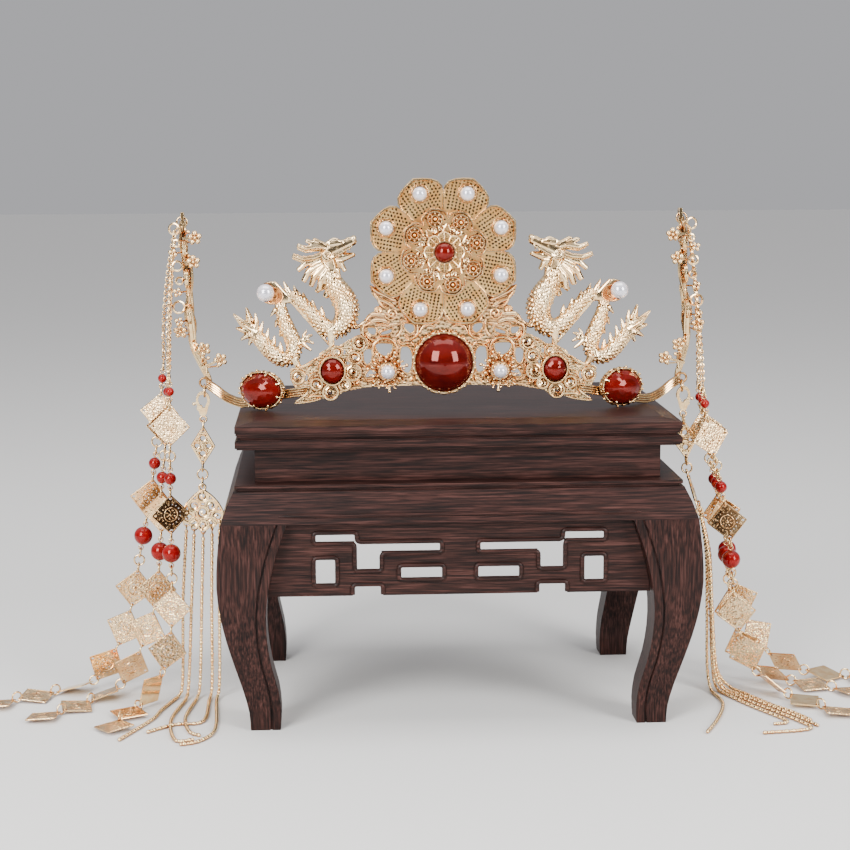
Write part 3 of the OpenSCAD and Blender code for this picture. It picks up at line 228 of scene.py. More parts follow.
# Near-black metal for the core behind the pierced petals: painted shade seen through the holes
painted_shade_core = gold("painted_shade_core", (0.05, 0.02, 0.007), (0.035, 0.014, 0.005), 0.5)
under_gold = gold("under_gold", (0.5, 0.28, 0.11), (0.36, 0.18, 0.07), 0.3)
carnelian = stone("carnelian", (0.125, 0.004, 0.003), (0.07, 0.003, 0.002))
dark_carnelian = stone("dark_carnelian", (0.09, 0.004, 0.003), (0.045, 0.002, 0.002))
bead_red = stone("bead_red", (0.27, 0.005, 0.006), (0.17, 0.004, 0.004))
pearl = painted_sheen_pearl("pearl")


# Mesh building: a part is points, quads and triangles, in millimetres


def catmull(points, steps):
    """A smooth line through the points."""
    p = np.asarray(points, float)
    q = np.vstack([p[:1], p, p[-1:]])
    t = (np.arange(steps) / steps)[:, None]
    rows = [b + 0.5 * t * (c - a + t * (2 * a - 5 * b + 4 * c - d + t * (3 * (b - c) + d - a)))
            for a, b, c, d in zip(q, q[1:], q[2:], q[3:])]
    return np.vstack([*rows, p[-1:]])


def skin(rows, closed=False, tips=None):
    """Rows of points joined by quads, with a fan to a tip at each end where tips are given."""
    count, around = np.shape(rows)[:2]
    v = np.reshape(rows, (-1, 3))
    k = np.arange(around)
    k1 = (k + 1) % around
    i = np.arange(count if closed else count - 1)[:, None] * around
    j = (i + around) % len(v)
    quads = np.stack([i + k, i + k1, j + k1, j + k], -1).reshape(-1, 4)
    if tips is None:
        return v, quads, np.zeros((0, 3), int)
    low, top, end = len(v) + 0 * k, len(v) + 1 + 0 * k, len(v) - around
    fans = [np.stack([low, k1, k], -1), np.stack([top, end + k, end + k1], -1)]
    return np.vstack([v, tips]), quads, np.vstack(fans)


def lengths(path):
    """The way along a line to each of its points."""
    return np.concatenate([[0], np.cumsum(norm(np.diff(path, axis=0), axis=1))])


def tube(path, radius, sides=6, closed=False):
    """A round wire; a pair of radii runs evenly from the first to the second."""
    p = np.asarray(path, float)
    n = len(p)
    r = np.linspace(*radius, n) if isinstance(radius, tuple) else np.full(n, radius, float)
    before, after = (p[-1:], p[:1]) if closed else (p[:1], p[-1:])
    q = np.vstack([before, p, after])
    t = q[2:] - q[:-2]
    t /= norm(t, axis=1)[:, None]
    start = (0, 0, 1) if abs(t[0][2]) < 0.9 else (0, 1, 0)
    s = np.zeros_like(p)
    s[0] = np.cross(t[0], start)
    s[0] /= norm(s[0])
    for i in range(1, n):
        v = s[i - 1] - t[i] * (s[i - 1] @ t[i])
        s[i] = v / norm(v)
    u = np.cross(t, s)
    a = 2 * np.pi * np.arange(sides) / sides
    around = np.cos(a)[:, None] * s[:, None] + np.sin(a)[:, None] * u[:, None]
    rows = p[:, None] + r[:, None, None] * around
    return skin(rows, closed, None if closed else p[[0, -1]])


def bent(points, steps, radius, sides=6):
    """A tube along a smooth curve through the points."""
    return tube(catmull(points, steps), radius, sides)


def circle(radius, count, z=0.0, squash=1.0):
    a = 2 * np.pi * np.arange(count) / count
    return np.stack([radius * np.cos(a), squash * radius * np.sin(a), a * 0 + z], -1)


def hoop(radius, wire, count=24, sides=6, squash=1.0):
    return tube(circle(radius, count, squash=squash), wire, sides, closed=True)


def spiral(outer, inner, turns, wire, start=0.0, hand=1, steps=9):
    count = int(steps * turns) + 1
    share = np.linspace(0, 1, count)
    a = math.radians(start) + hand * 2 * np.pi * turns * share
    r = outer + (inner - outer) * share
    path = np.stack([r * np.cos(a), r * np.sin(a), a * 0], -1)
    return tube(path, (wire, wire * 1.25), 5)


def ball(radius, around=8, up=6, flat=1.0):
    tall, wide = radius * flat, radius
    rows = [circle(wide * math.cos(b), around, z=tall * math.sin(b))
            for b in np.linspace(-np.pi / 2, np.pi / 2, up + 1)[1:-1]]
    return skin(rows, tips=[(0, 0, -tall), (0, 0, tall)])


def oval_link(length, width, wire):
    half, r = (length - width) / 2, (width - wire) / 2
    a = np.radians([90, 45, 0, -45, -90])
    right = np.stack([half + r * np.cos(a), r * np.sin(a), a * 0], -1)
    return tube(np.vstack([right, right * [-1, -1, 1]]), wire / 2, 5, closed=True)


def ring_plate(outer, inner, thick, count=28):
    """A flat ring with softly chamfered edges, centred on its plane."""
    h, c = thick / 2, min(0.2, (outer - inner) / 4)
    section = [(outer, h - c), (outer - c, h), (inner + c, h), (inner, h - c),
               (inner, c - h), (inner + c, -h), (outer - c, -h), (outer, c - h)]
    return skin([circle(r, count, z=z) for r, z in section], closed=True)


def cut_sheet(outline, holes, thick):
    """A flat sheet from z 0 to thick with holes cut through."""
    loops = [np.asarray(loop, float)[:, :2] for loop in [outline, *holes]]
    ends = np.cumsum([len(loop) for loop in loops])
    rings = [list(range(end - len(loop), end)) for loop, end in zip(loops, ends)]
    spots, _, faces, _, _, owners = delaunay_2d_cdt(
        [Vector(p) for p in np.vstack(loops)], [], rings, 1, 1e-6)
    n = len(spots)
    v = np.array([(p.x, p.y, z) for z in (0, thick) for p in spots])
    top = np.array([f for f, owner in zip(faces, owners) if owner == [0]], int)
    t = np.vstack([top[:, ::-1], top + n])
    edges = np.vstack([top[:, [0, 1]], top[:, [1, 2]], top[:, [2, 0]]])
    known = {(a, b) for a, b in edges.tolist()}
    rim = np.array([(a, b) for a, b in known if (b, a) not in known], int)
    q = np.c_[rim[:, 0], rim[:, 1], rim[:, 1] + n, rim[:, 0] + n]
    return v, q, t


def at(spot):
    return Matrix.Translation(spot)


def shift(x=0.0, y=0.0, z=0.0):
    return Matrix.Translation((x, y, z))


def turn(degrees, axis):
    return Matrix.Rotation(math.radians(degrees), 4, axis)


def spin(rx, ry, rz):
    """Turns about X, then Y, then Z, as the solids' source does."""
    return turn(rz, "Z") @ turn(ry, "Y") @ turn(rx, "X")


def facing(x, z, y=PLATE_Y):
    return shift(x, y, z) @ turn(90, "X")


MIRROR = Matrix.Diagonal((-1, 1, 1, 1))
SIDES = {"left": shift(CROWN_X) @ MIRROR, "right": shift(CROWN_X)}


def polar(radius, degrees):
    a = math.radians(degrees)
    return radius * math.cos(a), radius * math.sin(a)


def new_object(name, data):
    piece = bpy.data.objects.new(name, data)
    bpy.context.scene.collection.objects.link(piece)
    return piece


class Builder:
    """Collects parts into one mesh object."""

    def __init__(self):
        self.parts, self.count = [], 0

    def add(self, part, place=None, material=0):
        v, q, t = part
        if place is not None:
            m = np.array(place)
            v = v @ m[:3, :3].T + m[:3, 3]
            if np.linalg.det(m[:3, :3]) < 0:
                q, t = q[:, ::-1], t[:, ::-1]
        self.parts.append((v, q + self.count, t + self.count, material))
        self.count += len(v)

    def ring(self, part, place, count, radius, z, start=0.0, material=0):
        """The same part at even steps around a circle."""
        for k in range(count):
            self.add(part, place @ shift(*polar(radius, start + 360 * k / count), z), material)

    def part(self):
        return [np.vstack([part[i] for part in self.parts]) for i in range(3)]

    def object(self, name, materials=(pale_gold,), slot="pale_gold", replaced=(), sharp=40):
        v, quads, fans = self.part()
        index = [part[3] for i in (1, 2) for part in self.parts for _ in part[i]]
        mesh = bpy.data.meshes.new(name)
        mesh.from_pydata((v * MM).tolist(), [], quads.tolist() + fans.tolist())
        mesh.polygons.foreach_set("material_index", index)
        mesh.polygons.foreach_set("use_smooth", [True] * len(index))
        for material in materials:
            mesh.materials.append(material)
        mesh.update()
        if sharp:
            mesh.set_sharp_from_angle(angle=math.radians(sharp))
        piece = new_object(name, mesh)
        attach(piece, BODY)
        if replaced:
            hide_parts(*replaced)
        return piece


def part_of(mesh):
    """A Blender mesh of triangles in metres as a part in millimetres."""
    v = np.array([vertex.co for vertex in mesh.vertices], float) / MM
    return v, NO_QUADS, np.array([face.vertices[:] for face in mesh.polygons], int)


# Flower: pierced petals with wire rims and curls

PETAL_EDGE = [(0, 1), (7, 0.965), (13, 0.935), (17.5, 0.9), (20.6, 0.84), (22.5, 0.765)]


def petal_line(radius, start):
    points = []
    for k in range(8):
        for i in range(-5, 5):
            angle, share = PETAL_EDGE[abs(i)]
            spot = polar(radius * share, start + 45 * k + math.copysign(angle, i))
            points.append((*spot, 0.0))
    return np.array(points)


def petal_reach(radius, off):
    return radius * np.interp(abs(off), *zip(*PETAL_EDGE))


def hole_at(x, y, wide, tall, lean, count):
    a = 2 * np.pi * np.arange(count) / count
    c, s = polar(1, lean)
    u, w = wide * np.cos(a), tall * np.sin(a)
    return np.stack([x + c * u - s * w, y + s * u + c * w], -1)


def petal_holes(radius, start, inner, gap, size, keep_off, rng):
    """Rows of small holes in each petal, clear of its rim and of the seats in keep_off."""
    found = []
    for k in range(8):
        middle = start + 45 * k
        r, row = inner, 0
        while r < radius:
            step = math.degrees(gap * 1.08 / r)
            off = -22.5 + step * (0.5 if row % 2 else 1.0)
            while off < 22.3:
                x, y = polar(r, middle + off)
                edge = min(petal_reach(radius, off) - r, r * math.radians(22.5 - abs(off)))
                seats = [math.dist((x, y), polar(q, middle)) - s for q, s in keep_off]
                if edge > 0.42 + size and min(seats, default=9) > size:
                    lean = middle + off + rng.uniform(-70, 70)
                    found.append(hole_at(x, y, size * rng.uniform(0.85, 1.25),
                                         size * rng.uniform(0.6, 0.9), lean, 6))
                off += step
            r += gap * 0.92
            row += 1
    return found


def layered(work, radius, start, holes, z):
    """A pierced sheet over a near-black core that paints shade into its holes, and a plain back."""
    work.add(cut_sheet(petal_line(radius, start), holes, 0.35), shift(z=z + 0.45))
    # The near-black core: painted shade behind the holes
    work.add(cut_sheet(petal_line(radius - 0.3, start), [], 0.15), shift(z=z + 0.25), 2)
    work.add(cut_sheet(petal_line(radius, start), [], 0.25), shift(z=z))


def flower():
    rng = np.random.default_rng(8)
    outer = Builder()
    seat = 26.9
    layered(outer, 34, 22.5, petal_holes(34, 22.5, 18.9, 1.5, 0.6, [(seat, 3.2)], rng), 0)
    outer.add(tube(petal_line(33.3, 22.5) + [0, 0, 1.0], 0.62, closed=True), material=1)
    for k in range(8):
        middle = 22.5 + 45 * k
        head = shift(*polar(seat, middle))
        outer.add(hoop(3.3, 0.5), head @ shift(z=1.2), 1)
        outer.add(hoop(4.1, 0.26, 22, 5), head @ shift(z=0.9), 1)
        outer.ring(ball(0.45, 7, 5), head, 8, 3.4, 1.8, middle, 1)
        valley = [(*polar(r, middle + 22.5), 0.9) for r in (18.5, 22, 26.4)]
        outer.add(tube(valley, 0.55), material=1)
    inner = Builder()
    layered(inner, 19.8, 15, petal_holes(19.8, 15, 6.4, 1.36, 0.52, [(14.6, 3.3)], rng), 3.2)
    inner.add(tube(circle(8.6, 30, z=2.0), 1.2, closed=True))
    inner.add(tube(petal_line(19.1, 15) + [0, 0, 4.2], 0.5, closed=True), material=1)
    for k in range(8):
        middle = 15 + 45 * k
        head = shift(*polar(14.6, middle))
        inner.add(hoop(3.2, 0.5), head @ shift(z=4.5), 1)
        inner.add(hoop(1.6, 0.42, 16), head @ shift(z=4.9), 1)
        inner.add(ball(1.0), head @ shift(z=4.3))
        inner.ring(ball(0.42, 7, 5), head, 8, 2.4, 4.4, material=1)
        for hand in (-1, 1):
            curl = spiral(1.5, 0.4, 1.3, 0.32, middle + 180, hand)
            inner.add(curl, shift(*polar(10.4, middle + hand * 10), 4.2), 1)
            bends = ((7, 3), (10, 15), (12, 20.5))
            rib = [(*polar(r, middle + hand * off), 4.1) for r, off in bends]
            inner.add(bent(rib, 3, 0.36, 5), material=1)
    star = Builder()
    layered(star, 9.2, 0, petal_holes(9.2, 0, 5.9, 1.1, 0.36, [], rng), 6)
    star.add(tube(petal_line(8.8, 0) + [0, 0, 6.9], 0.36, 5, closed=True), material=1)
    star.add(tube(circle(4.3, 24, z=5.2), 1.1, closed=True))
    star.add(hoop(4.7, 0.55, 30), shift(z=7.6), 1)
    star.ring(ball(0.42, 7, 5), shift(), 16, 5.1, 8.2, material=1)
    for i in range(16):
        ray = [(*polar(5.2, 22.5 * i), 7.1), (*polar(7.6 if i % 2 else 8.4, 22.5 * i), 7)]
        star.add(tube(ray, 0.26, 5), material=1)
    place = facing(CROWN_X, FLOWER_Z)
    place.translation *= MM
    for name, work, front, slot in (
            ("flower_outer", outer, petal_gold, "pale_gold"),
            ("flower_inner", inner, bright_rose, "rose_gold"),
            ("flower_star", star, petal_gold, "pale_gold")):
        piece = work.object(f"{name}_look", [front, pale_gold, painted_shade_core], slot, [name])
        piece.data.transform(place)


# Clouds, scroll work and stone settings: wires laid over the solids

CLOUD_LOBES = [
    (36.4, 165.2, 3.8), (38.6, 159.4, 3.6), (39.6, 152.8, 4), (43.2, 147.4, 3), (49.4, 144.2, 3.8),
    (55.4, 147.8, 3), (63.4, 151, 3.4), (46.4, 161.7, 2.8)]
CLOUD_BODY = [
    (36, 168.6), (41, 166.6), (46, 163.6), (50, 163.2), (53.2, 160.2), (61, 155), (66.4, 154),
    (64.4, 146.4), (59, 146.6), (60.6, 142.6), (65, 139.6), (58, 140.2), (53.6, 141.4)]
CLOUD_LEAVES = [
    ([(55, 159), (59, 156.4), (63, 155.2)], 0.8), ([(56, 156.4), (58.4, 154.6), (60, 152.8)], 0.7),
    ([(55.4, 152.6), (58.4, 151.4), (59, 149)], 0.7),
    ([(58.6, 146), (60, 143.4), (63.6, 140.6)], 0.7),
    ([(52, 142.6), (57, 142.6), (60, 141.4)], 0.7), ([(41, 165), (38, 167.4), (36.2, 168)], 0.6),
    ([(54, 160.4), (50.6, 162.4), (47, 163.2)], 0.7), ([(43, 159), (42.6, 155), (43, 151)], 0.6),
    ([(45, 148.6), (47.4, 147.2), (51, 147.4)], 0.6),
    ([(59.6, 147.6), (61, 149), (62, 147.4)], 0.5)]


def cloud_wires(side):
    work = Builder()
    place = SIDES[side] @ facing(0, 0, PLATE_Y - 0.2)
    for i, (x, z, r) in enumerate(CLOUD_LOBES):
        hand = 1 if i % 2 else -1
        work.add(hoop(r - 0.5, 0.5), place @ shift(x, z, 1.8))
        work.add(spiral(r - 1.1, 0.5, 1.3, 0.5, 40 * i, hand), place @ shift(x, z, 1.7))
    seat = place @ shift(*CLOUD_STONE)
    work.add(hoop(5.45, 0.5, 36, squash=1.12), seat @ shift(z=2.9))
    for k in range(26):
        x, z = polar(1, 360 * k / 26)
        work.add(ball(0.45, 7, 5), seat @ shift(6.5 * x, 7.2 * z, 1.5))
    for points, wire in CLOUD_LEAVES:
        path = catmull([(x, z, 1.3) for x, z in points], 5)
        width = wire * np.sin(np.pi * np.linspace(0.22, 0.97, len(path)))
        work.add(tube(path, width), place)
    work.add(bent([(x, z, 1.2) for x, z in CLOUD_BODY], 3, 0.42), place)
    work.object(f"cloud_wires_{side}")


SCROLL_OPENINGS = [
    [(29.4, 171.8), (33.2, 172), (32.4, 169.2), (29.6, 168.8)],
    [(22.4, 171.6), (27.4, 170), (26.8, 168.6), (22.8, 169.6)],
    [(22.2, 164.6), (25.8, 165.4), (29.8, 164.8), (28.6, 161.2), (25.6, 159.4), (22.8, 161)],
    [(12.4, 171), (13.4, 173.4), (17, 173.8), (17, 171.4), (14.4, 169.2)],
    [(31.4, 157.4), (31.2, 162.4), (34.8, 163), (35, 158), (33.4, 155.8)],
    [(13.8, 154.4), (13.6, 160.4), (15.4, 163.6), (18.6, 163.2), (19.2, 158), (18.4, 153.4),
     (15.4, 151.8)],
    [(29.8, 150.8), (29.2, 154.6), (32, 154.2), (34.4, 151), (33, 149.8)]]
# Raised leaves: a line of points sideways and up, and the widest radius
SCROLL_LEAVES = [
    ([(20.4, 183.6), (25, 186), (28.4, 187.6), (31.8, 190)], 1.2),
    ([(21.4, 181), (25.2, 183.4), (28.2, 184.6), (30.2, 187)], 1.1),
    ([(24, 180.4), (26.6, 181.6), (28, 183.6), (28.8, 185.6)], 0.8),
    ([(25.4, 177.4), (28.6, 177.6), (31.6, 177.4), (33.6, 175.2)], 1.1),
    ([(23.6, 174), (27.4, 175.2), (31, 174.8), (34.6, 172.6)], 1.1),
    ([(20, 173.6), (23.4, 173), (27, 173.4), (29.4, 173)], 0.8),
    ([(34.4, 173.6), (35.4, 170.6), (34.4, 167.6), (31.8, 165.6)], 1.0),
    ([(33.8, 170), (32.2, 167.2), (29, 166.6), (26, 167.4)], 0.9),
    ([(30.6, 159.6), (30.6, 164), (27.4, 167.2), (22.8, 166.8), (20.4, 163.4), (20.8, 158.8)], 1.0),
    ([(28, 159.4), (25.4, 158), (22, 158.6), (20, 160.8)], 0.9),
    ([(18.6, 175.6), (18.4, 171.8), (20, 168.6), (22.6, 168)], 0.9),
    ([(17, 168.8), (14.8, 167.2), (12.4, 168), (11, 170.4), (11.6, 173.4)], 0.9),
    ([(19.8, 166.6), (18.4, 164.8), (14.6, 165.2), (12.6, 163.8)], 0.9),
    ([(4, 172.2), (6.4, 173.4), (9, 172.4), (10.4, 170)], 0.8),
    ([(36.2, 164.6), (36, 160), (35.8, 156.4), (33.6, 154.6)], 0.8),
    ([(19.8, 156.4), (20, 152.4), (18, 150.4), (15.4, 150.2)], 0.8),
    ([(30, 149.6), (33, 148.6), (36, 149.6), (38, 147.6)], 0.8),
    ([(35.6, 153), (38, 151), (41, 150.6), (43, 148.4)], 0.8),
    ([(36, 146.8), (39.4, 146.8), (42.6, 145.6), (44.6, 144.4)], 0.7)]
SCROLL_CURLS = [
    (22.6, 178, 3.0), (8.6, 176.6, 2.4), (3, 175.4, 2.2), (15, 176.8, 2.2), (33, 168.6, 1.3),
    (28.2, 179.6, 1.6), (20.6, 150.4, 1.6), (26, 149.2, 1.4), (13.6, 149.2, 1.3),
    (38.6, 148.8, 1.4)]


def scroll_relief():
    work = Builder()
    for side in SIDES:
        place = SIDES[side] @ facing(0, 0, PLATE_Y + 0.2)
        for points, wide in SCROLL_LEAVES:
            path = catmull([(x, z, 0.1) for x, z in points], 5)
            radius = wide * np.sin(np.pi * np.linspace(0.16, 0.97, len(path))) ** 0.7
            work.add(tube(path, np.minimum(radius, 0.95), 7), place)
            work.add(tube(path + [0, 0, 0.75], 0.22, 5), place, 1)
        for i, (x, z, r) in enumerate(SCROLL_CURLS):
            hand = 1 if i % 2 else -1
            work.add(spiral(r, 0.4, 1.6, 0.42, 70 * i, hand, 10), place @ shift(x, z, 0.2), 1)
        for hole in SCROLL_OPENINGS:
            loop = [(x, z, 0.1) for x, z in hole]
            path = catmull([loop[-1], *loop, loop[0], loop[1]], 4)[4:-5]
            work.add(tube(path, 0.4, closed=True), place, 1)
    work.object("scroll_relief", [rose_gold, bright_rose], "rose_gold")


def sunburst_rods(side):
    """Short ball tipped rods between the long ones, and a petalled bezel around the pearl."""
    work = Builder()
    place = SIDES[side] @ facing(*SUNBURST)
    for k in range(28):
        lift, reach = ((38, 3.0), (14, 3.6), (60, 1.8), (24, 4.6))[k % 4]
        foot = place @ turn(360 * k / 28 + 3, "Z") @ shift(3.7, 0, 1.3) @ turn(90 - lift, "Y")
        work.add(tube([(0, 0, 0), (0, 0, reach)], 0.3), foot)
        work.add(ball(0.58), foot @ shift(z=reach))
    for k in range(10):
        petal = place @ shift(*polar(3.25, 36 * k), 2.9) @ turn(36 * k, "Z") @ turn(-35, "Y")
        work.add(ball(0.8), petal @ Matrix.Diagonal((0.5, 1, 1.1, 1)))
    work.object(f"sunburst_rods_{side}")


OVAL_WIDE = 19.0
OVAL_SQUASH = 0.8


def oval_prongs(side):
    """Leafy claws around the oval stone, some bent over its edge."""
    work = Builder()
    place = SIDES[side] @ shift(78.6, -22.6, 144.1) @ spin(90, 0, 24)
    half = OVAL_WIDE / 2 + 0.85
    for k in range(24):
        x, y = polar(1, 15 * k + 4)
        out = np.array([x, OVAL_SQUASH * y, 0])
        inward, up = ((0.1, 3.4), (1.3, 4.5), (-0.7, 2.6))[k % 3]
        foot = out * half + [0, 0, 0.6]
        tip = out * (half - inward) + [0, 0, up]
        bend = out * (half + 0.35) + [0, 0, up * 0.6]
        work.add(bent([foot, bend, tip], 3, 0.42), place)
        work.add(ball(0.62), place @ shift(*tip))
    for inset, wire, z in ((0.1, 0.36, 1), (0.3, 0.3, 3)):
        work.add(hoop(half - inset, wire, 44, squash=OVAL_SQUASH), place @ shift(z=z))
    work.object(f"oval_prongs_{side}")


def centre_beads():
    work = Builder()
    place = facing(CROWN_X, STONE_Z)
    work.ring(ball(0.42, 7, 5), place, 54, 13.75, 2.2)
    work.add(hoop(13.2, 0.4, 60), place @ shift(z=3.4))
    work.ring(ball(0.7, 8, 6, 1.3), place, 18, 12.9, 3.6)
    work.object("centre_beads")


# Branches: bead petals, rings, wires and buds. Spots are sideways, back and up

REACH = {"left": 0.99, "right": 1.03}
LEAN = {"left": 8, "right": 0.5}
BRANCH_FOOT = {"left": 16, "right": 14}
EYE_X, FOOT_Z, BRANCH_TALL, FOOT_TALL = 105.1, 148, 71.6, 16
BRANCH_FLOWERS = [
    (-5.2, -5, 210.6), (-3.6, -4.5, 200), (5, -1.4, 169.4), (-4.2, -6, 160.4), (-9, -8, 153.2)]
# Rings (back, up, radius) and bars (back and up at each end) in the branch's own plane
BRANCH_RINGS = [
    (3, 208.6, 2.8), (-1.5, 206, 3.6), (2.5, 199.5, 3.4), (-2.5, 192.5, 3.6), (3, 184.5, 4),
    (-3, 176.5, 3.6), (2, 168.5, 3.6)]
BRANCH_BARS = [
    ((0, 144), (0, 172)), ((0, 170), (-1, 196)), ((-1, 194), (1, 218)), ((-6, 179), (0, 160)),
    ((6, 187), (1, 165))]
# Outer side: rings (sideways, up, radius), buds (sideways, up) and side stems (from, to, bow)
BRANCH_CURLS = [
    (3.7, 215, 2.4), (3.2, 208.6, 1.5), (3.7, 198.6, 2.1), (3.3, 192, 1.5), (4.5, 180.4, 2.6)]
BRANCH_BUDS = [(5.2, 204.4), (4.6, 187), (5, 174)]
BRANCH_STEMS = [
    (182, 207, -2.2), (166, 186, 2), (164, 180, -1.8), (149.5, 162, -1.9), (200, 217, 1.6)]


def slanted(degrees, length):
    """How far a line that leans from the upright goes sideways and up."""
    up, out = polar(length, degrees)
    return out, up


def branch_frames(side):
    """The frames of a branch: its foot, the part below the bend and the part above."""
    foot = LEAN[side] + BRANCH_FOOT[side]
    root = SIDES[side] @ shift(EYE_X * REACH[side], -4, FOOT_Z)
    (top_x, top_z), (bend_x, bend_z) = slanted(LEAN[side], BRANCH_TALL), slanted(foot, FOOT_TALL)
    high = math.degrees(math.atan2(top_x - bend_x, top_z - bend_z))
    low = root @ turn(foot, "Y") @ shift(z=-FOOT_Z)
    upper = root @ shift(top_x, 0, top_z) @ turn(high, "Y") @ shift(z=-FOOT_Z - BRANCH_TALL)
    return root @ turn(LEAN[side], "Y") @ shift(z=-FOOT_Z), low, upper


def branch_flowers(side):
    work = Builder()
    foot, low, upper = branch_frames(side)

    def frame_at(z):
        return foot if z < FOOT_Z else low if z < FOOT_Z + 15.6 else upper

    def stalk(start, end):
        work.add(tube([upper @ Vector(start), upper @ Vector(end)], 0.42))

    for x, y, z in BRANCH_FLOWERS:
        head = frame_at(z) @ shift(x, y, z) @ turn(90, "X")
        work.ring(ball(1.15, 10, 6, 0.75), head, 5, 2.0, 0.75, 18)
        work.ring(ball(0.34, 6, 5), head, 5, 1.24, 1.5, 18)
        work.add(ball(0.75), head @ shift(z=1.1))
    for i, (y, z, r) in enumerate(BRANCH_RINGS):
        work.add(hoop(r - 0.15, 0.95, 26), upper @ shift(0, y, z) @ turn(90, "Y"))
        for x in (-0.9, 0.9):
            leaf = upper @ shift(x, y, z) @ turn(90, "Y") @ turn(50 * i, "Z")
            work.add(spiral(r - 0.9, 0.5, 1.1, 0.5, 60 * i), leaf)
    for i, (a, b) in enumerate(BRANCH_BARS):
        wire = np.linspace((0, *a), (0, *b), 9)
        sway = (0.5 - i % 2) * np.sin(np.pi * np.linspace(0, 1, 9))
        for x in (-0.75, 0.75):
            line = [frame_at(p[2]) @ Vector((p[0] + x + w, p[1], p[2])) for p, w in zip(wire, sway)]
            work.add(bent(line, 3, 0.72))
    for x, y, z in BRANCH_FLOWERS:
        frame = frame_at(z)
        for k, (dx, dz) in enumerate(((0.45, 2.6), (0.7, -2.4), (0.2, 3.9))):
            bud = Vector((x * dx, y * 0.6, z + dz))
            work.add(ball(0.85 - 0.1 * k), frame @ shift(*bud))
            work.add(tube([frame @ Vector((0, 0, z + dz * 0.4)), frame @ bud], 0.36, 5))
    for i, (x, z, r) in enumerate(BRANCH_CURLS):
        work.add(hoop(r, 0.5, 22, 7), upper @ shift(x, -4.2, z) @ spin(90, 0, 18 - 9 * i))
        stalk((0.5, -1, z + 0.6), (x - r * 0.96, -4, z))
    for x, z in BRANCH_BUDS:
        head = upper @ shift(x, -4.4, z) @ turn(90, "X")
        work.ring(ball(0.95, 8, 6, 0.8), head, 4, 1.25, 0.2, 30)
        stalk((0.5, -1, z), (x - 0.8, -4.2, z))
    for low_z, high_z, bow in BRANCH_STEMS:
        run = np.linspace(0, 1, 12)
        line = [(bow * math.sin(math.pi * t), -1.2, low_z + (high_z - low_z) * t) for t in run]
        width = 0.45 + 0.3 * np.sin(np.pi * run)
        work.add(tube([frame_at(p[2]) @ Vector(p) for p in line], width))
    work.object(f"branch_wires_{side}")


# Band: fine wires laid along its front

BAND_LINE = [
    (0, -30.4, 150), (30, -30.4, 148.5), (47, -30.4, 146.2), (59, -28.8, 144.2),
    (69, -25.4, 142.4), (78.3, -21.3, 140.5), (88, -15.9, 137.3), (96, -9.9, 138.8),
    (101, -6.8, 142), (105.2, -5.8, 144.6)]


def band_wires():
    work = Builder()
    for side in SIDES:
        line = [(x * (REACH[side] if x > 80 else 1), y, z) for x, y, z in BAND_LINE]
        path = catmull([(-line[1][0], *line[1][1:]), *line], 5)[5:]
        way = np.gradient(path, axis=0)
        out = np.stack([way[:, 1], -way[:, 0], 0 * way[:, 0]], -1)
        front = path + out / norm(out, axis=1)[:, None] * 0.55
        for up in (-1.6, -0.55, 0.5, 1.55):
            work.add(tube(front + [0, 0, up], 0.46), SIDES[side])
    work.object("band_wires")


# Dragons: the solid's own forms, smoothed, with scales laid along body and tail

DRAGON_BODY = [
    (49.8, 196.4, 3.6), (48, 191.6, 4.1), (44.8, 187, 4.7), (42.2, 182.2, 5.1), (41.8, 177.2, 4.9),
    (44, 172.8, 4.3), (48.4, 170.6, 3.7), (52.8, 173.2, 3.2), (57.2, 178, 2.8), (61.6, 182.8, 2.6),
    (65.8, 187, 2.2)]
DRAGON_TAIL = [
    (70.8, 182.6, 2), (69.8, 177.6, 2.5), (68, 172.2, 3), (65.8, 167, 3.2), (64.8, 162.4, 3.1),
    (66.6, 158.8, 3), (70.6, 158.2, 3.1), (74.6, 161, 3.1), (78.2, 165, 2.9), (81.4, 169, 2.5)]
# Grooved ridges laid on the larger leaves: start, middle and tip, and how far to the front
DRAGON_RIDGES = [
    ((52.6, 201.4), (59.4, 199.8), (63, 196.8), 1), ((52, 200), (58.2, 196.6), (60.6, 192), 1.8),
    ((51.4, 199), (55.8, 194.4), (57.4, 190), 2.2), ((50, 197.6), (53, 192.8), (54, 188), 2.4),
    ((46.4, 201), (44, 199.4), (42.4, 196.4), 1), ((47.4, 198.8), (45.8, 196.6), (45, 193.4), 1.6),
    ((82.6, 171), (87, 174), (91, 178.2), 0.8), ((83, 171), (84.2, 176), (85.4, 180.8), -0.6),
    ((82.6, 170.4), (86.4, 171), (90, 172), -0.4), ((82, 169.6), (85.2, 168.8), (88, 167), 0.8)]
# Lines on each side of the face: steps, wire, and points ahead, up and out
DRAGON_FACE = [
    (5, (0.75, 0.4), [(43.4, 208.4, 2), (47, 210.2, 2.8), (50.8, 208.4, 3)]),
    (5, 0.5, [(39.4, 207.2, 1.7), (43, 205.2, 2.3), (47.6, 202.6, 2.9)]),
    (5, 0.45, [(38.6, 204, 0.9), (43.6, 202.3, 1.5), (48, 201.4, 2.6)]),
    (4, 0.55, [(38, 210.6, 1), (40.6, 210.6, 1.8), (43.2, 209.4, 2), (47, 209.6, 2.6)])]
# The cup behind a dragon's pearl and the spoon under it: middle and reach
CUP = [((77, 187.4, 3), 4.3), ((73, 186, 5), 4.8)]


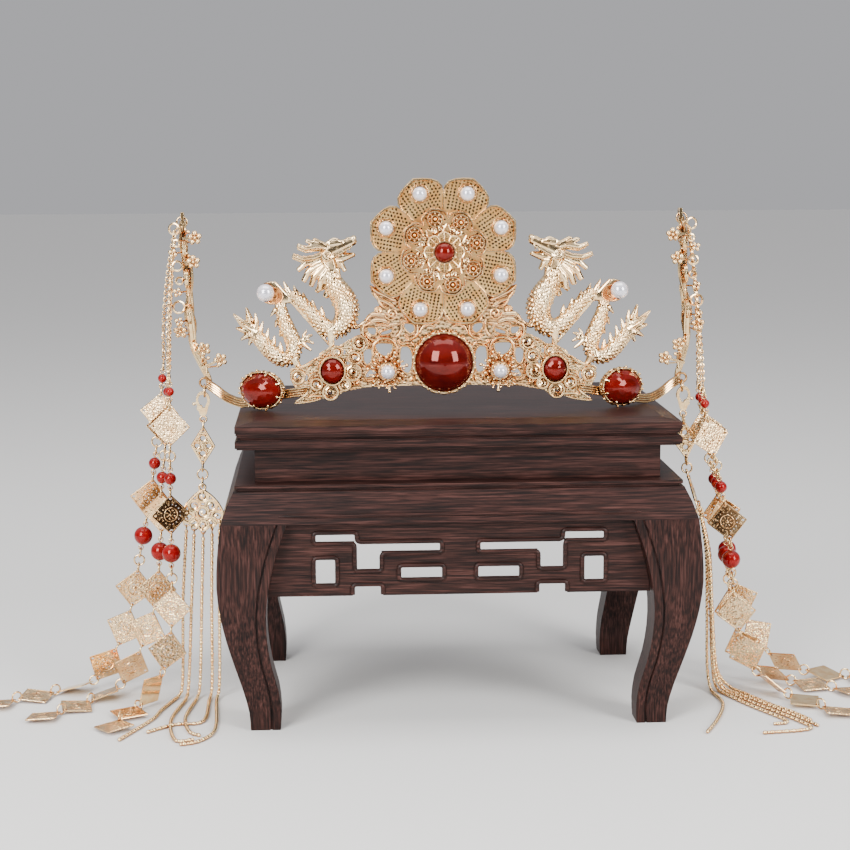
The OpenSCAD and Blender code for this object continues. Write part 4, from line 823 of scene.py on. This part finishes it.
def scales(work, rows, place):
    path = catmull(rows, 10)
    run = lengths(path[:, :2])
    scale = ball(1.0, 6, 4)
    for i, s in enumerate(np.arange(0.6, run[-1], 1.4)):
        (x, z, r), (next_x, next_z, _) = [
            [np.interp(spot, run, column) for column in path.T] for spot in (s, s + 0.5)]
        heading = math.degrees(math.atan2(next_z - z, next_x - x))
        count = max(7, int(2 * math.pi * r / 1.75))
        for k in range(count):
            around = 360 * (k + (0.5 if i % 2 else 0)) / count
            spot = (shift(x, z) @ turn(heading, "Z") @ turn(around, "X") @ shift(z=r + 0.02)
                    @ turn(-28, "Y") @ Matrix.Diagonal((1.15, 0.82, 0.42, 1)))
            work.add(scale, place @ spot)


def dragon(side):
    name = f"dragon_{side}"
    work = Builder()
    work.add(part_of(nodes[name].data))
    place = SIDES[side] @ facing(0, 0, PLATE_Y + 4)
    scales(work, DRAGON_BODY, place)
    scales(work, DRAGON_TAIL, place)
    for start, middle, tip, front in DRAGON_RIDGES:
        for hand in (-1, 1):
            level = hand * abs(front) if front > 0.9 else front + hand * 1.2
            path = catmull([(*start, level), (*middle, level + hand * 1.15), (*tip, level)], 5)
            for spread in (-0.62, 0.62):
                line = path + np.linspace(1, 0.2, len(path))[:, None] * [spread, spread, 0]
                work.add(tube(line, (0.42, 0.3), 5), place)
    for z in (-1, 1):
        eye = place @ shift(46.2, 206.8, 2.5 * z)
        work.add(ball(0.85), eye)
        work.add(hoop(1.2, 0.36, 16, 5), eye)
        work.add(spiral(2.3, 0.6, 1.4, 0.5, 210, 1), place @ shift(50.4, 203.4, 3.7 * z))
        for steps, wire, points in DRAGON_FACE:
            work.add(bent([(x, y, out * z) for x, y, out in points], steps, wire), place)
        for k in range(4):
            x, y = 40.4 + 1.7 * k, 206.2 - 0.8 * k
            work.add(tube([(x, y, 1.7 * z), (x, y - 1.6, 1.7 * z)], (0.42, 0.12), 5), place)
    piece = work.object(f"{name}_look", [dragon_gold, cup_gold], "pale_gold", [name], sharp=0)
    melt = piece.modifiers.new("melt", "REMESH")
    melt.mode = "VOXEL"
    melt.voxel_size = 0.33 * MM
    melt.use_smooth_shade = True
    soften = piece.modifiers.new("soften", "SMOOTH")
    soften.factor = 0.3
    soften.iterations = 1
    graph = bpy.context.evaluated_depsgraph_get()
    piece.data = bpy.data.meshes.new_from_object(piece.evaluated_get(graph))
    piece.modifiers.clear()
    spots = [(place @ Vector(middle) * MM, reach * MM) for middle, reach in CUP]
    for face in piece.data.polygons:
        inside = any((face.center - middle).length < reach for middle, reach in spots)
        face.material_index = 1 if inside else 0


# Chains: links along a line, and bars with a small ball between each two


def along(points, step):
    """Counted frames at even steps along a smooth line, with x ahead."""
    path = catmull(points, 8)
    run = lengths(path)
    count = max(2, int(round(run[-1] / step)))
    spots = np.linspace(0, run[-1], count + 1)
    ends = np.stack([np.interp(spots, run, column) for column in path.T], -1)
    for i, (a, b) in enumerate(zip(ends, ends[1:])):
        ahead = Vector(b - a).to_track_quat("X", "Z").to_matrix().to_4x4()
        yield i, at((a + b) / 2) @ ahead


# Routes of a fan's chains; a point without a height lies on the floor
FLOOR = 0.89
FRINGES = {
    "left": [
        [(-120, -5.8, 82), (-122.5, -6, 45), (-123.5, -6, 8), (-126, -9), (-131.5, -28),
         (-134.5, -42), (-146, -70)],
        [(-116.6, -5.8, 80), (-118.6, -6, 45), (-120.6, -7, 8), (-122, -14), (-126, -44),
         (-122, -72), (-114, -71)],
        [(-112.6, -5.8, 78.4), (-114, -6, 45), (-115.5, -6, 8), (-117, -13), (-120, -40),
         (-117, -60), (-112, -66)],
        [(-108.6, -5.8, 80), (-109.5, -6, 45), (-110, -7, 8), (-111, -14), (-112, -46),
         (-124, -50), (-135, -60)],
        [(-105.2, -5.8, 82), (-106, -6, 45), (-106.6, -7, 8), (-107.6, -16), (-106, -58),
         (-112, -74), (-120, -78.1)]],
    "right": [
        [(112.4, -14, 86.2), (117.6, -12, 63), (119.6, -12, 36), (121, -13, 10), (126, -17),
         (135, -36), (148, -62), (150, -74), (129, -78.15)],
        [(113.6, -10.7, 84.4), (118.6, -9, 63), (120.2, -9.6, 36), (122.4, -11, 10), (127, -14),
         (138, -34), (150, -58), (155, -70)],
        [(114.7, -6.9, 82.9), (119.2, -6, 63), (120.4, -7, 36), (123, -8, 10), (130, -12),
         (141, -36), (148, -48), (154, -62)],
        [(115, -2.8, 84.4), (118, -4, 63), (118.4, -6, 36), (118.4, -9, 10), (119.4, -16),
         (120.6, -34), (114, -56), (105, -76)],
        [(114.9, 0.6, 86.2), (119.4, -1, 63), (120.4, -4, 36), (121, -8, 10), (123, -15),
         (132, -38), (143, -62), (136, -66)]]}
FAN_EDGE = [(0, -1.4), (3.4, -3.6), (6.8, -7.4), (9, -11.6)]
FAN_LOBES = [
    (0, -4.2, 3.2, 1.5), (-3.8, -8.5, 3.2, 1.6), (3.8, -8.5, 3.2, 1.6), (-6.5, -13.6, 3.3, 1.7),
    (6.5, -13.6, 3.3, 1.7), (0, -11.6, 3.4, 1.8), (0, -17.3, 3, 1.4), (-3.7, -16, 2.8, 1.3),
    (3.7, -16, 2.8, 1.3)]
CLASP = {
    "left": Vector((CROWN_X - 106.8 * REACH["left"] - 0.8, -5.8, 137.5)),
    "right": Vector((CROWN_X + 106.8 * REACH["right"] + 0.8, -5.8, 137.5))}
# Drops below the clasp's ring: its eye, the diamond, and the fan with a small lift. What hangs
# from the eye leans by TILT degrees
CLASP_TALL = 8.6
DIAMOND_DROP = 20.75
TILT = {"left": 2, "right": -5}
FAN_DROP = {"left": (39.75, 0.02), "right": (36.1, 0.1)}


def fan(side):
    work = Builder()
    drop, lift = FAN_DROP[side]
    sway = -(drop - CLASP_TALL) * math.sin(math.radians(TILT[side]))
    place = at(CLASP[side] + Vector((sway, 0, lift - drop)))
    if side == "right":
        place = place @ spin(-18, 0, 80)
    place = place @ turn(90, "X")
    work.add(ring_plate(1.9, 0.95, 1.0, 20), place)
    work.add(tube([(-1.5, -2.1, 0), (1.5, -2.1, 0)], 0.55, 8), place)
    work.add(tube([(0, -1.5, 0), (0, -3, 0)], 0.8, 8), place)
    for i, (x, y, outer, inner) in enumerate(FAN_LOBES):
        lobe, hand = place @ shift(x, y), 1 if x < 0 else -1
        work.add(ring_plate(outer, inner, 0.7), lobe)
        work.add(hoop(outer - 0.45, 0.5, 26), lobe)
        work.add(spiral(inner + 0.2, 0.5, 0.9, 0.42, 90 + 70 * i, hand, 12), lobe)
    for hand in (-1, 1):
        work.add(bent([(hand * x, y, 0) for x, y in FAN_EDGE], 5, 0.65), place)
    big, small = hoop(1.45, 0.36, 14), hoop(1.2, 0.34, 12)
    bar, bead = ball(1.0, 8, 8), ball(0.76)
    for i, route in enumerate(FRINGES[side]):
        top, *rest = [Vector((*p, FLOOR)[:3]) for p in route]
        way = (rest[0] - top).normalized()
        work.add(big, at(top + way * 0.6) @ turn(90, "X") @ turn(25 * i, "Y"))
        work.add(small, at(top + way * 2.7) @ turn(90, "Y"))
        path = catmull([top + way * 3.8, *rest], 8)
        path[:, 2] = np.maximum(path[:, 2], FLOOR)
        for k, spot in along(path, 1.62):
            if k % 2:
                work.add(bead, spot)
            else:
                work.add(bar, spot @ Matrix.Diagonal((1.3, 0.88, 0.88, 1)))
    work.object(f"fan_{side}_look", replaced=[f"fan_{side}"], sharp=50)


def diamond_wires(side):
    """Rim, ribs and small balls over the pierced diamond of a tassel."""
    work = Builder()
    place = (at(CLASP[side] - Vector((0, 0, CLASP_TALL))) @ turn(TILT[side], "Y")
             @ shift(z=CLASP_TALL - DIAMOND_DROP) @ turn(90, "X"))
    rim = [(0, 8.4, 0), (5.05, 0, 0), (0, -8.4, 0), (-5.05, 0, 0)]
    for a, b in zip(rim, rim[1:] + rim[:1]):
        work.add(tube([a, b], 0.5), place)
    for z in (-0.45, 0.45):
        for s in (-1, 1):
            work.add(hoop(1.35, 0.28, 16, 5), place @ shift(0, 3.4 * s, z))
            work.add(hoop(1.2, 0.28, 16, 5), place @ shift(2.6 * s, 0, z))
            for x, y in ((1.9, 3.4), (3.3, 1.5), (1.3, 5.2), (1.5, 1.5)):
                for hand in (1, -1):
                    work.add(ball(0.36, 7, 5), place @ shift(x * s, y * hand, z))
    work.object(f"diamond_wires_{side}")


# Lower ends of the three chains that hang from each branch's top
TOPS = {
    "left": [(-129.5, 5, 154.1), (-127, -4, 149.2), (-125.6, -13, 150.35)],
    "right": [(114.4, 5, 142.9), (114, -4, 142.65), (113.4, -13, 142.2)]}


def top_chains(side):
    work = Builder()
    out = -1 if side == "left" else 1
    top_x, top_z = slanted(LEAN[side], BRANCH_TALL)
    eye = Vector((CROWN_X + out * (EYE_X * REACH[side] + top_x), -0.6, FOOT_Z + top_z))
    hook = eye + (Vector((-0.5, 0, -2.14)) if side == "left" else Vector((0.8, 0, -2.16)))
    knot = hook + Vector((out * 3.3, 0, -3.97))
    work.add(hoop(2.3, 0.4, 20, 8), at(hook) @ turn(90, "X"))
    tilt = at(hook + Vector((out * 2.08, 0, -2.5))) @ turn(-40 * out, "Y")
    work.add(hoop(1.9, 0.4, 18, 8), tilt @ spin(90, 0, 90))
    link = oval_link(2.6, 1.9, 0.62)
    for (x, y, z), bow in zip(TOPS[side], ((1.6, 2), (0.8, 0), (0.4, -2))):
        end = Vector((x, y, z + 0.75))
        way, bend = end - knot, Vector((out * bow[0], bow[1], 0))
        for i, place in along([knot, knot + 0.34 * way + bend, knot + 0.7 * way + bend, end], 1.55):
            work.add(link, place @ turn(135 if i % 2 else 45, "X"))
    work.object(f"top_chains_{side}_look", replaced=[f"top_chains_{side}"], sharp=50)


# Strands: the solid's rings and pins, with pierced plates in place of the plain ones

PLATE_HALF = 9.19
HOLE_SPOT = 7.59
PLATE_THICK = 0.6


def plate_part():
    """One pierced square, its holes for the rings on the x diagonal."""
    corners = [np.array(p) for p in ((1, 0, 0), (0, 1, 0), (-1, 0, 0), (0, -1, 0))]
    sides = list(zip(corners, corners[1:] + corners[:1]))
    cut = 0.35 / math.sqrt(2)
    line = [PLATE_HALF * p + cut * (q - p) for a, b in sides for p, q in ((a, b), (b, a))]
    holes = [hole_at(s * HOLE_SPOT, 0, 0.85, 0.85, 0, 12) for s in (-1, 1)]
    holes += [hole_at(0, s * 7.3, 0.55, 0.7, 0, 8) for s in (-1, 1)]
    for count, radius, wide, first, lean in ((8, 1.9, 0.55, 22.5, 22.5), (16, 4.5, 0.42, 11, 60)):
        for k in range(count):
            step = 360 * k / count
            holes.append(hole_at(*polar(radius, step + first), wide, 0.24, step + lean, 6))
    work = Builder()
    work.add(cut_sheet(line, holes, PLATE_THICK - 0.1), shift(z=0.05 - PLATE_THICK / 2))
    for a, b in sides:
        work.add(tube([(PLATE_HALF - 0.45) * a, (PLATE_HALF - 0.45) * b], 0.4))
    for z in (-0.2, 0.2):
        work.add(hoop(3.1, 0.26, 22, 5), shift(z=z))
    work.add(ball(0.95, 10, 6, 0.5))
    for quarter in range(4):
        for hand in (-1, 1):
            curl = spiral(1.0, 0.35, 1.1, 0.3, 90 * quarter + 180, hand, 7)
            work.add(curl, shift(*polar(5.9, 90 * quarter + 15 * hand)))
    return work.part()


def islands(mesh):
    """The loose pieces of a mesh of triangles in metres, as parts in millimetres."""
    bm = bmesh.new()
    bm.from_mesh(mesh)
    bmesh.ops.remove_doubles(bm, verts=bm.verts, dist=1e-7)
    found, seen = [], set()
    for first in bm.verts:
        if first in seen:
            continue
        seen.add(first)
        group, stack = [], [first]
        while stack:
            v = stack.pop()
            group.append(v)
            for other in [e.other_vert(v) for e in v.link_edges]:
                if other not in seen:
                    seen.add(other)
                    stack.append(other)
        index = {v: i for i, v in enumerate(group)}
        faces = dict.fromkeys(f for v in group for f in v.link_faces)
        rows = np.array([[index[v] for v in f.verts] for f in faces], int)
        found.append((np.array([v.co for v in group], float) / MM, NO_QUADS, rows))
    bm.free()
    return found


def flattest(points):
    """The middle of some points, the way in which they reach least, and their reach in it."""
    middle = points.mean(0)
    normal = np.linalg.eigh(np.cov((points - middle).T))[1][:, 0]
    return middle, normal, (points - middle) @ normal


def plate_place(points):
    """The frame of a flat square from its points, or None for anything else."""
    middle, normal, reach = flattest(points)
    if np.ptp(reach) > 0.9:
        return None
    far = points[np.argmax(norm(points - middle, axis=1))] - middle
    e1 = far - normal * (far @ normal)
    e1 /= norm(e1)
    e2 = np.cross(normal, e1)
    flat = np.stack([(points - middle) @ e1, (points - middle) @ e2], -1)
    if min(np.ptp(flat, 0)) < 1.9 * HOLE_SPOT:
        return None
    offset = (flat.max(0) + flat.min(0)) / 2
    centre = middle + offset @ [e1, e2] + normal * (reach.max() + reach.min()) / 2
    u, w = np.abs((points - centre) @ e1), np.abs((points - centre) @ e2)
    if np.sum((np.abs(u - HOLE_SPOT) < 0.95) & (w < 0.95)) < 12:
        e1, e2 = e2, -e1
    return Matrix([*np.stack([e1, e2, normal, centre], -1), (0, 0, 0, 1)])


def round_ring(points):
    """A round ring as a lighter hoop with its frame, or None for anything else."""
    middle, normal, reach = flattest(points)
    apart = norm(points - middle - reach[:, None] * normal, axis=1)
    radius, wire = (apart.max() + apart.min()) / 2, np.ptp(apart) / 2
    if apart.min() < 0.3 or abs(np.ptp(reach) / 2 - wire) > 0.03:
        return None
    aim = Vector(normal).to_track_quat("Z", "X").to_matrix().to_4x4()
    return hoop(radius, wire, 28, 12), at(middle) @ aim


def strand(name, plate):
    work = Builder()
    count = 0
    for part in islands(nodes[name].data):
        place, ring = plate_place(part[0]), round_ring(part[0])
        if place is not None:
            work.add(plate, place, 2 if count % 3 == 1 else 1)
            count += 1
        else:
            work.add(*(ring or (part,)))
    work.object(f"{name}_look", [pale_gold, plate_gold, rose_gold], "pale_gold", [name])


# Stand: rounded beads around the front panel's openings and along the belt

FRET_Y = -63.0
BELT_BEAD = (77.0, -67.7, 96.0)
# Openings of one half of the panel: sideways and up, closed unless they run out at the bottom
FRET_RIMS = [
    ([(7.7, 83.6), (44, 83.6), (44, 87.8), (62.5, 87.8), (62.5, 83), (45, 83), (45, 70.8),
      (33.5, 70.8), (33.5, 78.6), (7.7, 78.6)], True),
    ([(52.4, 64.8), (62.5, 64.8), (62.5, 77), (52.4, 77)], True),
    ([(6.8, 66.8), (26.2, 66.8), (26.2, 73.2), (6.8, 73.2)], True),
    ([(33, 60.8), (33, 65.2), (46, 65.2), (46, 60.8)], False)]


def rounded_line(points, radius, closed):
    line = []
    points = [np.array(p, float) for p in points]
    for i, p in enumerate(points):
        if not closed and i in (0, len(points) - 1):
            line.append(p)
            continue
        ways = [points[i - 1] - p, points[(i + 1) % len(points)] - p]
        near = min(radius, *[norm(way) * 0.45 for way in ways])
        a, b = [way / norm(way) * near for way in ways]
        line += [p + a * (1 - t) ** 2 + b * t ** 2 for t in np.linspace(0, 1, 5)]
    return line


def stand_beads():
    work = Builder()
    for side in (-1, 1):
        for points, closed in FRET_RIMS:
            line = [(side * x, FRET_Y, z) for x, z in rounded_line(points, 1.8, closed)]
            work.add(tube(line, 1.0, 8, closed))
    reach, y, z = BELT_BEAD
    run = np.linspace(-reach, reach, 41)
    width = 0.85 * np.minimum(1, (reach + 2 - np.abs(run)) / 6)
    work.add(tube([(x, y, z) for x in run], width, 8))
    work.object("stand_beads", [wood_across], "dark_wood")


# Plain solids: wood, stones, pearls and small metal keep their packed form

# The first of these words in a solid's name gives its material
FINISHES = [
    ("leg", wood_up), ("stand", wood_across), ("fret", wood_across), ("apron", wood_across),
    ("pearl", pearl), ("centre_stone", dark_carnelian), ("stone", carnelian), ("beads", bead_red),
    ("scroll", scroll_gold), ("band", under_gold), ("cloud", lace_gold), ("tassel", lace_gold),
    ("", pale_gold)]

for name, piece in nodes.items():
    piece.data.materials.clear()
    piece.data.materials.append(next(finish for word, finish in FINISHES if word in name))
    if name.startswith("clasp"):
        rounding = piece.modifiers.new("rounding", "BEVEL")
        rounding.width = (0.22 if "lever" in name else 0.4) * MM
        rounding.segments = 3
        rounding.limit_method = "ANGLE"

stand_beads()
flower()
scroll_relief()
centre_beads()
band_wires()
plate = plate_part()
for side in SIDES:
    for build in (cloud_wires, sunburst_rods, oval_prongs, branch_flowers, diamond_wires,
                  dragon, fan, top_chains):
        build(side)
    for letter in "abc":
        strand(f"strand_{letter}_{side}", plate)


# Floor, lights and camera


def floor():
    material = shader("floor", Base_Color=(0.74, 0.73, 0.71, 1), Roughness=0.85)[0]
    mesh = bpy.data.meshes.new("floor")
    mesh.from_pydata([(-6, -6, 0), (6, -6, 0), (6, 6, 0), (-6, 6, 0)], [], [(0, 1, 2, 3)])
    mesh.materials.append(material)
    piece = new_object("floor", mesh)


def softbox(name, spot, size, energy):
    light = bpy.data.lights.new(name, "AREA")
    light.shape = "RECTANGLE"
    light.size, light.size_y = size
    light.energy = energy
    holder = new_object(name, light)
    holder.location = spot
    way = Vector((0, 0, 0.12)) - Vector(spot)
    holder.rotation_euler = way.to_track_quat("-Z", "Y").to_euler()


def lights():
    """Three softboxes, and a world that is dark in front and pale behind and above."""
    softbox("key", (-0.62, -0.95, 0.62), (0.5, 0.75), 24.0)
    softbox("fill", (0.75, -0.85, 0.55), (0.4, 0.7), 16.0)
    softbox("top", (0.0, -0.1, 1.2), (1.1, 0.6), 9.0)
    world = bpy.data.worlds.new("world")
    bpy.context.scene.world = world
    world.use_nodes = True
    tree = world.node_tree
    place = add_node(tree, "TexCoord").outputs["Generated"]
    parts = add_node(tree, "SeparateXYZ", Vector=place)
    back = add_node(tree, "Math", operation="MULTIPLY_ADD")
    back.inputs[1].default_value = 0.5
    back.inputs[2].default_value = 0.5
    tree.links.new(parts.outputs["Y"], back.inputs[0])
    behind = ramp(tree, back.outputs[0], [
        (0.0, (0.05, 0.05, 0.055)), (0.45, (0.09, 0.09, 0.10)), (0.75, (0.46, 0.46, 0.48))])
    above = ramp(tree, parts.outputs["Z"], [(0.3, (0, 0, 0)), (0.8, (0.66, 0.66, 0.68))])
    tone = mixed(tree, behind, above, 1.0, "ADD")
    fill(tree, tree.nodes["Background"], Color=tone)


def camera():
    """The photograph's view in degrees, with the lens from its fit."""
    yaw, pitch_down, roll = -3, 8.5, -0.24
    data = bpy.data.cameras.new("camera")
    data.sensor_width = 36
    data.lens = 80.47
    data.clip_start = 0.01
    holder = new_object("camera", data)
    aim = turn(yaw, "Z") @ turn(90 - pitch_down, "X") @ turn(roll, "Z")
    holder.matrix_world = at((-0.0563, -0.8545, 0.252)) @ aim
    bpy.context.scene.camera = holder


floor()
lights()
camera()
